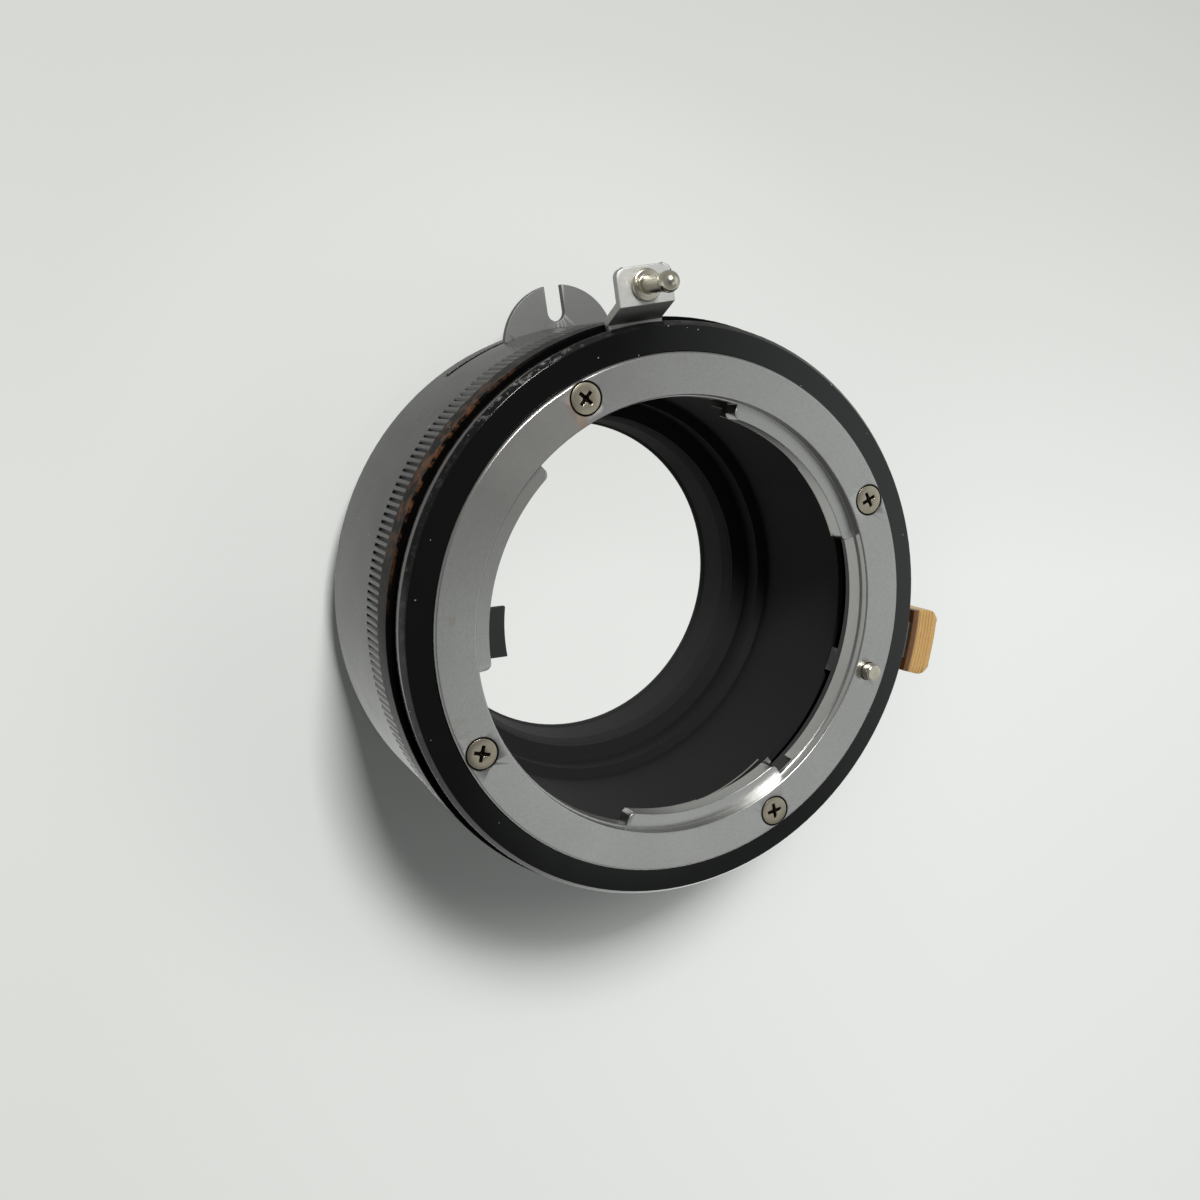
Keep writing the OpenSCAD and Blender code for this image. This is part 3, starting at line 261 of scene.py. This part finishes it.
def mix_colour(tree, factor, a, b):
    """The colour a where the factor is 0 and b where it is 1."""
    node = add_node(tree, "ShaderNodeMix", data_type="RGBA")
    for socket, value in ((node.inputs[0], factor), (node.inputs[6], a), (node.inputs[7], b)):
        if isinstance(value, (tuple, list, Vector)):
            socket.default_value = (*value[:3], 1.0)
        elif isinstance(value, (int, float)):
            socket.default_value = value
        else:
            tree.links.new(value, socket)
    return node.outputs[2]


def around_angle(tree, turn, degrees, full, gone):
    """1 within some degrees of an angle about the axis, and 0 past some more."""
    apart = math_node(tree, "ABSOLUTE", math_node(tree, "SUBTRACT", turn, degrees / 360))
    return band(tree, apart, gone / 360, full / 360)


def mix_value(tree, factor, a, b):
    """a where the factor is 0 and b where it is 1."""
    node = add_node(tree, "ShaderNodeMix", data_type="FLOAT")
    for socket, value in ((node.inputs[0], factor), (node.inputs[2], a), (node.inputs[3], b)):
        if isinstance(value, (int, float)):
            socket.default_value = value
        else:
            tree.links.new(value, socket)
    return node.outputs[0]


def bump(tree, height, depth_mm):
    """A normal for dents of that many millimetres."""
    return add_node(
        tree, "ShaderNodeBump", {"Strength": 1.0, "Distance": depth_mm * MM}, {"Height": height}
    ).outputs["Normal"]


def spread(tree, value, low, high):
    """low where the value is 0 and high where it is 1."""
    return add_node(
        tree, "ShaderNodeMapRange", {"To Min": low, "To Max": high}, {"Value": value}, clamp=True
    ).outputs["Result"]


def ray_kinds(tree):
    """1 for a ray from the camera or a mirroring surface, and 1 for one from a mirroring surface alone."""
    path = add_node(tree, "ShaderNodeLightPath").outputs
    mirrored = math_node(tree, "MAXIMUM", path["Is Glossy Ray"], path["Is Transmission Ray"])
    return math_node(tree, "MAXIMUM", path["Is Camera Ray"], mirrored), mirrored


def turned_marks(tree, radius, pitch_mm):
    """Fine rings left by the lathe: noise along the radius alone, drawn coarse enough to show."""
    return add_node(
        tree, "ShaderNodeTexNoise", {"Scale": 1 / (pitch_mm * MM), "Detail": 3.0, "Roughness": 0.6},
        {"W": radius}, noise_dimensions="1D",
    ).outputs["Fac"]


def satin_chrome():
    """Brass, turned and then satin chrome plated: fine rings that draw highlights into sectors."""
    look, _ = settings()
    material, tree = new_material("satin_chrome_on_turned_brass")
    point = object_point(tree)
    radius, turn, _ = polar(tree, point)
    marks = turned_marks(tree, radius, 0.18)
    blotches = noise(tree, point, 7.0, 3.0)
    stains = band(tree, noise(tree, point, 3.2, 4.0, 0.6), 0.63, 0.80)
    base = mix_colour(tree, times(tree, stains, 0.35), tuple(look.chrome), tuple(look.chrome_stain_and_reflection))
    base = mix_colour(tree, times(tree, blotches, 0.25), base, linear("#9A9996"))
    # The plating's grain is finer than this, and is drawn coarser so that it shows
    grain = band(tree, noise(tree, point, 0.20, 2.0, 0.8), 0.38, 0.66)
    base = mix_colour(tree, times(tree, grain, 0.30), base, linear("#8C8D8E"))
    # Painted shade: a darker, browner sector at the upper left, where the turned rings mirror a dim part of the room
    one_side = around_angle(tree, turn, SHADE_SECTOR_DEG, 12.0, 42.0)
    base = mix_colour(tree, times(tree, one_side, 0.55), base, linear("#827E7A"))
    # Painted reflection: a thin orange line by the upper left screw, a warm object mirrored in the flange
    warm_reflection = times(tree, around_angle(tree, turn, WARM_REFLECTION_DEG, 0.6, 2.2), band(tree, radius, 28.0 * MM, 26.5 * MM))
    base = mix_colour(tree, times(tree, warm_reflection, 0.35), base, tuple(look.chrome_stain_and_reflection))
    # Painted shade: a near-black ring in the gap round each screw head
    recess_shade = band(tree, screw_distance(tree, radius, turn), 1.86 * MM, 1.76 * MM)
    base = mix_colour(tree, times(tree, recess_shade, 0.94), base, linear("#1E1A15"))
    rough = spread(tree, blotches, 0.27, 0.35)
    tangent = add_node(tree, "ShaderNodeTangent", direction_type="RADIAL", axis="Z").outputs["Tangent"]
    shader = add_node(
        tree, "ShaderNodeBsdfPrincipled", {"Metallic": 1.0, "Anisotropic": 0.4, "Anisotropic Rotation": 0.25},
        {"Base Color": base, "Roughness": rough, "Normal": bump(tree, marks, 0.003), "Tangent": tangent},
    )
    finish_material(tree, shader)
    return material


def plain_metal(name, tone, rough, spot_mm, tarnish, shade_below=None):
    """Bare or plated small metal parts, with a cloudy tarnish that varies the shine.

    shade_below is a height: what lies deeper, as in a recess, is darkened as painted shade.
    """
    material, tree = new_material(name)
    point = object_point(tree)
    cloud = noise(tree, point, spot_mm, 4.0, 0.6)
    base = mix_colour(tree, times(tree, cloud, 0.5), tone, tarnish)
    if shade_below:
        # Painted shade: below that height, as in the screws' cross recesses, the colour turns near black
        _, _, height = polar(tree, point)
        recess_shade = band(tree, height, shade_below, shade_below - 0.12 * MM)
        base = mix_colour(tree, recess_shade, base, linear("#1B1612"))
    roughness = spread(tree, cloud, rough - 0.06, rough + 0.1)
    shader = add_node(
        tree, "ShaderNodeBsdfPrincipled", {"Metallic": 1.0}, {"Base Color": base, "Roughness": roughness}
    )
    finish_material(tree, shader)
    return material


def satin_aluminium(name, tone):
    """Stamped aluminium sheet, tumbled to a satin, with fine scratches along the sheet."""
    material, tree = new_material(name)
    point = object_point(tree)
    stretched = add_node(
        tree, "ShaderNodeMapping", {"Scale": (1.0, 9.0, 1.0), "Rotation": (0, 0, math.radians(-13))},
        {"Vector": point},
    ).outputs["Vector"]
    scratches = noise(tree, stretched, 1.1, 5.0, 0.7)
    base = mix_colour(tree, times(tree, scratches, 0.4), tone, linear("#6E6E6C"))
    shader = add_node(
        tree, "ShaderNodeBsdfPrincipled", {"Metallic": 1.0, "Roughness": 0.54},
        {"Base Color": base, "Normal": bump(tree, scratches, 0.012)},
    )
    finish_material(tree, shader)
    return material


def screw_distance(tree, radius, turn):
    """Distance to the nearest of the four flange screws."""
    quarter = math_node(tree, "SUBTRACT", times(tree, turn, 4.0), SCREW_DEG / 90)
    apart = math_node(tree, "SUBTRACT", quarter, math_node(tree, "ROUND", quarter))
    angle = times(tree, apart, math.pi / 2)
    along = math_node(tree, "SUBTRACT", times(tree, radius, math_node(tree, "COSINE", angle)), SCREW_R)
    across = times(tree, radius, math_node(tree, "SINE", angle))
    return distance(tree, along, across)


def dust_specks(tree, point, pitch_mm, size):
    """Scattered specks: 1 on a speck and 0 between them."""
    cells = add_node(
        tree, "ShaderNodeTexVoronoi", {"Scale": 1 / (pitch_mm * MM), "Randomness": 1.0}, {"Vector": point}
    )
    near = math_node(tree, "LESS_THAN", cells.outputs["Distance"], size)
    pick = add_node(tree, "ShaderNodeSeparateColor", links={"Color": cells.outputs["Color"]}).outputs["Red"]
    return times(tree, near, math_node(tree, "GREATER_THAN", pick, 0.72))


def black_anodised(name, rough, wear_and_highlight=None, dull_above=None, dust_mm=1.7, shine=0.5):
    """Aluminium, bead-blasted or polished and anodised black: deep black with a soft or a sharp sheen, and dust.

    wear_and_highlight(tree, radius, turn, height, point) gives where it has worn off, with any painted highlight,
    the colour there and whether it is bare metal. Above the height dull_above the sheen is gone.
    """
    look, _ = settings()
    material, tree = new_material(name)
    point = object_point(tree)
    radius, turn, height = polar(tree, point)
    cloud = noise(tree, point, 5.0, 3.0)
    specks = dust_specks(tree, point, dust_mm, 0.07)
    base = mix_colour(tree, cloud, tuple(look.anodised), linear("#080808"))
    base = mix_colour(tree, times(tree, specks, 0.8), base, tuple(look.dust))
    links = {"Roughness": spread(tree, cloud, rough - 0.04, rough + 0.07)}
    if wear_and_highlight:
        amount, tone, bare = wear_and_highlight(tree, radius, turn, height, point)
        base = mix_colour(tree, amount, base, tone)
        if bare:
            links["Metallic"] = amount
    links["Base Color"] = base
    if dull_above:
        dulled = band(tree, height, dull_above, dull_above + 0.15 * MM)
        links["Specular IOR Level"] = mix_value(tree, dulled, shine, 0.02)
    finish_material(tree, add_node(tree, "ShaderNodeBsdfPrincipled", {"Specular IOR Level": shine}, links))
    return material


def front_ring_wear_and_highlight(tree, radius, turn, height, point):
    """Bare aluminium along the bevel, worn through in patches all round, with a painted highlight where it is
    brightest, at the upper left.
    """
    outer = band(tree, radius, 30.75 * MM, 30.95 * MM)
    edge = times(tree, outer, band(tree, height, FRONT_EDGE_Z - 0.1 * MM, FRONT_EDGE_Z + 0.1 * MM))
    patches = band(tree, noise(tree, point, 1.1, 5.0, 0.7), 0.52, 0.64)
    apart = math_node(tree, "ABSOLUTE", math_node(tree, "SUBTRACT", turn, 0.365))
    # Painted highlight: the bare patches are strongest at the upper left, where the bevel mirrors the light
    one_side = times(tree, band(tree, apart, 0.045, 0.015), 0.6)
    amount = times(tree, patches, math_node(tree, "MAXIMUM", one_side, 0.05))
    return times(tree, edge, amount), linear("#B9B7B2"), True


def coupling_wear(tree, radius, turn, height, point):
    """Rim worn brown by fingers at the left."""
    look, _ = settings()
    outer = band(tree, radius, 31.5 * MM, 31.7 * MM)
    rim = times(tree, outer, band(tree, height, SERRATION_TOP_Z, SERRATION_TOP_Z + 0.6 * MM))
    patches = band(tree, noise(tree, point, 1.6, 5.0, 0.7), 0.46, 0.60)
    side = around_angle(tree, turn, BRASSING_DEG, 12.0, 30.0)
    return times(tree, rim, times(tree, patches, side)), tuple(look.brassing), False


def flock_black(name, tone, rough):
    """Matte paint against reflections, a little dusty."""
    material, tree = new_material(name)
    point = object_point(tree)
    grain = noise(tree, point, 0.35, 3.0)
    base = mix_colour(tree, times(tree, noise(tree, point, 4.0, 3.0), 0.5), tone, linear("#101010"))
    shader = add_node(
        tree, "ShaderNodeBsdfPrincipled", {"Roughness": rough},
        {"Base Color": base, "Normal": bump(tree, grain, 0.01)},
    )
    finish_material(tree, shader)
    return material


def aged_ivory():
    """Moulded plastic, yellowed outside; the dark amber of its inner side, next to the lever, is a painted shadow."""
    look, _ = settings()
    material, tree = new_material("aged_ivory_plastic")
    point = object_point(tree)
    cloud = noise(tree, point, 2.0, 4.0, 0.6)
    inward = band(tree, polar(tree, point)[0], 33.3 * MM, 32.9 * MM)
    pale = mix_colour(tree, times(tree, cloud, 0.6), tuple(look.ivory), linear("#A87E46"))
    # Painted shadow: dark amber along the cap's inner side
    base = mix_colour(tree, inward, pale, tuple(look.amber))
    shader = add_node(
        tree, "ShaderNodeBsdfPrincipled",
        {"Roughness": 0.38, "Subsurface Weight": 0.15, "Subsurface Scale": 0.8 * MM},
        {"Base Color": base, "Normal": bump(tree, noise(tree, point, 0.3, 2.0), 0.01)},
    )
    finish_material(tree, shader)
    return material


def floor_material():
    """Pale paper: it keeps the shadow, and glows a little for the camera so that it stays pale behind the object.
    Inside the throat the glow is painted light that hides the ring's shadow there; for mirrored rays the glow is a
    painted reflection, brighter below the ring and dimmer above; and the tone is painted lighter at the right and
    darker at the top.
    """
    _, studio = settings()
    material, tree = new_material("pale_seamless_paper")
    point = object_point(tree)
    xyz = add_node(tree, "ShaderNodeSeparateXYZ", links={"Vector": point}).outputs
    radius = polar(tree, point)[0]
    # Painted light: the paper's tone is lighter toward the right and darker toward the top
    rightward = band(tree, xyz["X"], -60 * MM, 75 * MM)
    upward = band(tree, xyz["Y"], 0.0, 90 * MM)
    tone = mix_colour(tree, rightward, tuple(studio.floor_colour), tuple(studio.floor_right))
    tone = mix_colour(tree, upward, tone, tuple(studio.floor_top))
    paper = add_node(
        tree, "ShaderNodeBsdfPrincipled", {"Roughness": 0.8, "Specular IOR Level": 0.1}, {"Base Color": tone}
    )
    outside = add_node(
        tree, "ShaderNodeMapRange",
        {"From Min": 42 * MM, "From Max": 70 * MM, "To Min": studio.glow_near, "To Max": studio.glow_far},
        {"Value": radius}, clamp=True, interpolation_type="SMOOTHSTEP",
    ).outputs["Result"]
    # Painted light: inside the throat the paper glows almost fully, which hides the ring's shadow there
    in_throat = math_node(tree, "LESS_THAN", radius, 25 * MM)
    share = math_node(tree, "MAXIMUM", outside, times(tree, in_throat, 0.97))
    seen, mirrored = ray_kinds(tree)
    share = math_node(tree, "MAXIMUM", share, times(tree, mirrored, 0.8))
    # Painted reflection: for mirrored rays the paper glows dimmer above the ring and brighter below it
    uneven = mix_value(tree, band(tree, xyz["Y"], -8 * MM, 40 * MM), 1.0, 0.55)
    uneven = mix_value(tree, band(tree, xyz["Y"], -8 * MM, -34 * MM), uneven, 1.7)
    glow = add_node(
        tree, "ShaderNodeEmission", links={"Color": tone, "Strength": mix_value(tree, mirrored, 1.0, uneven)}
    )
    both = add_node(
        tree, "ShaderNodeMixShader",
        links={0: times(tree, share, seen), 1: paper.outputs["BSDF"], 2: glow.outputs["Emission"]},
    )
    add_node(tree, "ShaderNodeOutputMaterial", links={"Surface": both.outputs["Shader"]})
    return material


def paint(node_name, material):
    """Gives a CAD node its finish."""
    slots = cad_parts[node_name].data.materials
    slots.clear()
    slots.append(material)


def deselect_all():
    """Object mode, with nothing selected."""
    if bpy.context.mode != "OBJECT":
        bpy.ops.object.mode_set(mode="OBJECT")
    bpy.ops.object.select_all(action="DESELECT")


def finer_copy(node_name, body, edge, sharp=28.0, segments=2, merge_flats=True):
    """A piece cut from a CAD node's shape: edges sharper than so many degrees get bevels that catch the light."""
    deselect_all()
    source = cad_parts[node_name]
    source.select_set(True)
    bpy.context.view_layer.objects.active = source
    bpy.ops.object.duplicate()
    piece = bpy.context.active_object
    piece.name = piece.data.name = f"{node_name}_finished"
    for key in list(piece.keys()):
        del piece[key]
    piece.parent = None
    piece.matrix_world = Matrix.Identity(4)
    material = piece.data.materials[0]
    grow(piece, 1 / MM)
    bpy.ops.object.mode_set(mode="EDIT")
    bpy.ops.mesh.select_mode(type="EDGE")
    bpy.ops.mesh.select_all(action="SELECT")
    bpy.ops.mesh.remove_doubles(threshold=0.0005)
    if merge_flats:
        bpy.ops.mesh.dissolve_limited(angle_limit=math.radians(0.4))
    bpy.ops.mesh.select_all(action="DESELECT")
    bpy.ops.mesh.edges_select_sharp(sharpness=math.radians(sharp))
    bpy.ops.mesh.bevel(offset=edge / MM, segments=segments, profile=0.5, clamp_overlap=False)
    bpy.ops.mesh.select_all(action="SELECT")
    bpy.ops.mesh.quads_convert_to_tris(quad_method="BEAUTY", ngon_method="BEAUTY")
    bpy.ops.mesh.normals_make_consistent(inside=False)
    bpy.ops.object.mode_set(mode="OBJECT")
    grow(piece, MM)
    bpy.ops.object.shade_smooth_by_angle(angle=math.radians(32))
    weighted = piece.modifiers.new("even shading", "WEIGHTED_NORMAL")
    weighted.keep_sharp = True
    weighted.weight = 80
    bpy.ops.object.modifier_apply(modifier=weighted.name)
    piece.data.materials.clear()
    piece.data.materials.append(material)
    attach(piece, body)
    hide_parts(node_name)
    return piece


def grow(piece, factor):
    """Scales the mesh about the origin; the edit tools work in millimetres, where their tolerances are small."""
    deselect_all()
    piece.select_set(True)
    bpy.context.view_layer.objects.active = piece
    piece.scale = (factor, factor, factor)
    bpy.ops.object.transform_apply(location=False, rotation=False, scale=True)


class RING_OT_stage(bpy.types.Operator):
    """Camera at the photograph's place, pale floor and soft lights"""

    bl_idname = "ring.stage"
    bl_label = "Stage"

    def execute(self, context):
        _, studio = settings()
        context.scene.view_settings.view_transform = "Standard"
        deselect_all()
        bpy.ops.mesh.primitive_plane_add(size=4.0, location=(0, 0, CAD_BOX[0][2]))
        floor = context.active_object
        floor.name = "floor"
        floor.data.materials.append(floor_material())

        camera_data = bpy.data.cameras.new("photo_camera")
        camera_data.sensor_width = 36
        camera_data.lens = studio.lens
        camera_data.clip_start = 0.01
        camera = bpy.data.objects.new("photo_camera", camera_data)
        back = CAMERA_BACK.normalized()
        right = CAMERA_UP.cross(back).normalized()
        up = back.cross(right).normalized()
        turn = Matrix((right, up, back)).transposed().to_4x4()
        camera.matrix_world = Matrix.Translation(studio.eye) @ turn
        context.scene.collection.objects.link(camera)
        context.scene.camera = camera

        self.soft_box("key_light", (-0.07, 0.29, 0.42), 0.11, studio.key_light)
        self.room(context, studio)
        return {"FINISHED"}

    @staticmethod
    def soft_box(name, place, size, power):
        """A square soft light that faces the object."""
        lamp = bpy.data.lights.new(name, "AREA")
        lamp.shape = "SQUARE"
        lamp.size = size
        lamp.energy = power
        box = bpy.data.objects.new(name, lamp)
        box.location = place
        box.rotation_euler = (-Vector(place)).to_track_quat("-Z", "Y").to_euler()
        bpy.context.scene.collection.objects.link(box)

    @staticmethod
    def room(context, studio):
        """Light from all round: dim above, a pale wall at the right and a ceiling lamp."""
        world = context.scene.world or bpy.data.worlds.new("room")
        context.scene.world = world
        world.use_nodes = True
        tree = world.node_tree
        tree.nodes.clear()
        direction = add_node(tree, "ShaderNodeTexCoord").outputs["Generated"]

        def toward(place):
            return add_node(
                tree, "ShaderNodeVectorMath", {1: place}, {0: direction}, operation="DOT_PRODUCT"
            ).outputs["Value"]

        height = add_node(tree, "ShaderNodeSeparateXYZ", links={"Vector": direction}).outputs["Z"]
        level = mix_value(tree, band(tree, height, 0.55, 0.85), studio.room_side, studio.room_dim)
        level = mix_value(tree, band(tree, toward(WALL_DIRECTION), 0.80, 0.97), level, studio.room_right)
        level = mix_value(tree, band(tree, toward(LAMP_DIRECTION), 0.951, 0.990), level, studio.room_lamp)
        seen, _ = ray_kinds(tree)
        level = times(tree, level, mix_value(tree, seen, studio.room_fill, 1.0))
        room = add_node(tree, "ShaderNodeBackground", {"Color": (0.97, 1.0, 1.0, 1)}, {"Strength": level})
        add_node(tree, "ShaderNodeOutputWorld", links={"Surface": room.outputs[0]})


class RING_OT_finishes(bpy.types.Operator):
    """Finishes for the CAD nodes"""

    bl_idname = "ring.finishes"
    bl_label = "Finishes"

    def execute(self, context):
        look, _ = settings()
        finishes = {}
        for material, node_names in (
            (satin_chrome(), "lens_flange camera_bayonet"),
            (plain_metal("yellowed_nickel_plate", tuple(look.nickel), 0.30, 0.8, linear("#857A64")), "bayonet_screws"),
            # Painted shade in the screws' cross recesses
            (plain_metal("nickel_plate_shaded_in_the_cross", tuple(look.nickel), 0.30, 0.8, linear("#857A64"),
                         SCREW_SHADE_Z), "flange_screws"),
            (plain_metal("bright_nickel_plate", tuple(look.bright_nickel), 0.22, 1.2, linear("#A69F8C")),
             "lock_pin follower_pin"),
            (plain_metal("bare_spring_steel", tuple(look.steel), 0.32, 1.2, linear("#7E7C78")),
             "bayonet_spring_right bayonet_spring_left bayonet_spring_lower spring_rivets lock_pin_spring "
             "release_lever thrust_spacer follower_rivets prong_rivets stopdown_arm stopdown_rivets "
             "stopdown_spring spring_post ring_post snap_ring"),
            # One satin sheet in two tones, painted light: lighter on the follower plate, darker on the meter prong
            (satin_aluminium("satin_aluminium_sheet", tuple(look.aluminium)), "follower_plate"),
            (satin_aluminium("shaded_aluminium_sheet", tuple(look.shaded_aluminium)), "meter_prong"),
            (black_anodised("polished_black_anodising", 0.09, front_ring_wear_and_highlight, dust_mm=1.1, shine=0.35), "front_ring"),
            (black_anodised("worn_black_anodising", 0.30, coupling_wear, SERRATION_TOP_Z), "coupling_ring"),
            (black_anodised("satin_black_anodising", 0.26), "rear_barrel main_tube"),
            (flock_black("matte_light_trap_paint", tuple(look.matte), 0.85), "stopdown_ring inner_sleeve rear_baffle"),
            (flock_black("black_painted_sheet", linear("#0E0E0E"), 0.5), "stopdown_tab"),
            (aged_ivory(), "release_cap"),
        ):
            finishes.update(dict.fromkeys(node_names.split(), material))
        missing = sorted(set(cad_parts) - set(finishes))
        if missing:
            raise RuntimeError(f"no finish for {missing}")
        for name, material in finishes.items():
            paint(name, material)
        return {"FINISHED"}


class RING_OT_flanges(bpy.types.Operator):
    """The lens flange, with the fine bevels of turned brass, its screws and the lock pin"""

    bl_idname = "ring.flanges"
    bl_label = "Flange and screws"

    def execute(self, context):
        edges = context.scene.ring_edges
        finer_copy("lens_flange", "housing", edges.flange)
        finer_copy("flange_screws", "housing", edges.screws)
        finer_copy("lock_pin", "lock", edges.lock_pin)
        return {"FINISHED"}


class RING_OT_barrels(bpy.types.Operator):
    """Front ring, serrated ring and rear barrel, with edges that catch the light"""

    bl_idname = "ring.barrels"
    bl_label = "Black rings"

    def execute(self, context):
        edges = context.scene.ring_edges
        finer_copy("front_ring", "housing", edges.front_ring, sharp=20.0)
        finer_copy("rear_barrel", "housing", edges.barrel)
        # The toothed faces stay in triangles: merged into one face, they would be filled across the bore
        finer_copy("coupling_ring", "coupling", edges.serrations, segments=1, merge_flats=False)
        return {"FINISHED"}


class RING_OT_coupling(bpy.types.Operator):
    """Follower plate, its pin and the meter prong, stamped and tumbled"""

    bl_idname = "ring.coupling"
    bl_label = "Follower and prong"

    def execute(self, context):
        edges = context.scene.ring_edges
        finer_copy("follower_plate", "coupling", edges.follower, segments=3)
        finer_copy("meter_prong", "coupling", edges.prong)
        finer_copy("follower_pin", "coupling", edges.follower_pin, segments=3)
        return {"FINISHED"}


class RING_OT_release(bpy.types.Operator):
    """Release cap, moulded with rounded edges"""

    bl_idname = "ring.release"
    bl_label = "Release cap"

    def execute(self, context):
        finer_copy("release_cap", "lock", context.scene.ring_edges.cap)
        return {"FINISHED"}


class RING_PT_panel(bpy.types.Panel):
    """Lists the pieces in the sidebar"""

    bl_idname = "RING_PT_panel"
    bl_label = "Extension ring"
    bl_space_type = "VIEW_3D"
    bl_region_type = "UI"
    bl_category = "Extension ring"

    def draw(self, context):
        for operator in OPERATORS:
            self.layout.operator(operator.bl_idname)


OPERATORS = (RING_OT_stage, RING_OT_finishes, RING_OT_flanges, RING_OT_barrels, RING_OT_coupling, RING_OT_release)
CLASSES = (FinishSettings, EdgeSettings, StudioSettings, *OPERATORS, RING_PT_panel)


def register():
    """Makes the settings, operators and panel known."""
    for cls in CLASSES:
        bpy.utils.register_class(cls)
    bpy.types.Scene.ring_finish = PointerProperty(type=FinishSettings)
    bpy.types.Scene.ring_edges = PointerProperty(type=EdgeSettings)
    bpy.types.Scene.ring_studio = PointerProperty(type=StudioSettings)


def unregister():
    """Takes them away again."""
    del bpy.types.Scene.ring_studio
    del bpy.types.Scene.ring_edges
    del bpy.types.Scene.ring_finish
    for cls in reversed(CLASSES):
        bpy.utils.unregister_class(cls)


def main():
    """Builds everything."""
    register()
    bpy.ops.ring.stage()
    bpy.ops.ring.finishes()
    bpy.ops.ring.flanges()
    bpy.ops.ring.barrels()
    bpy.ops.ring.coupling()
    bpy.ops.ring.release()


if __name__ == "__main__":
    main()
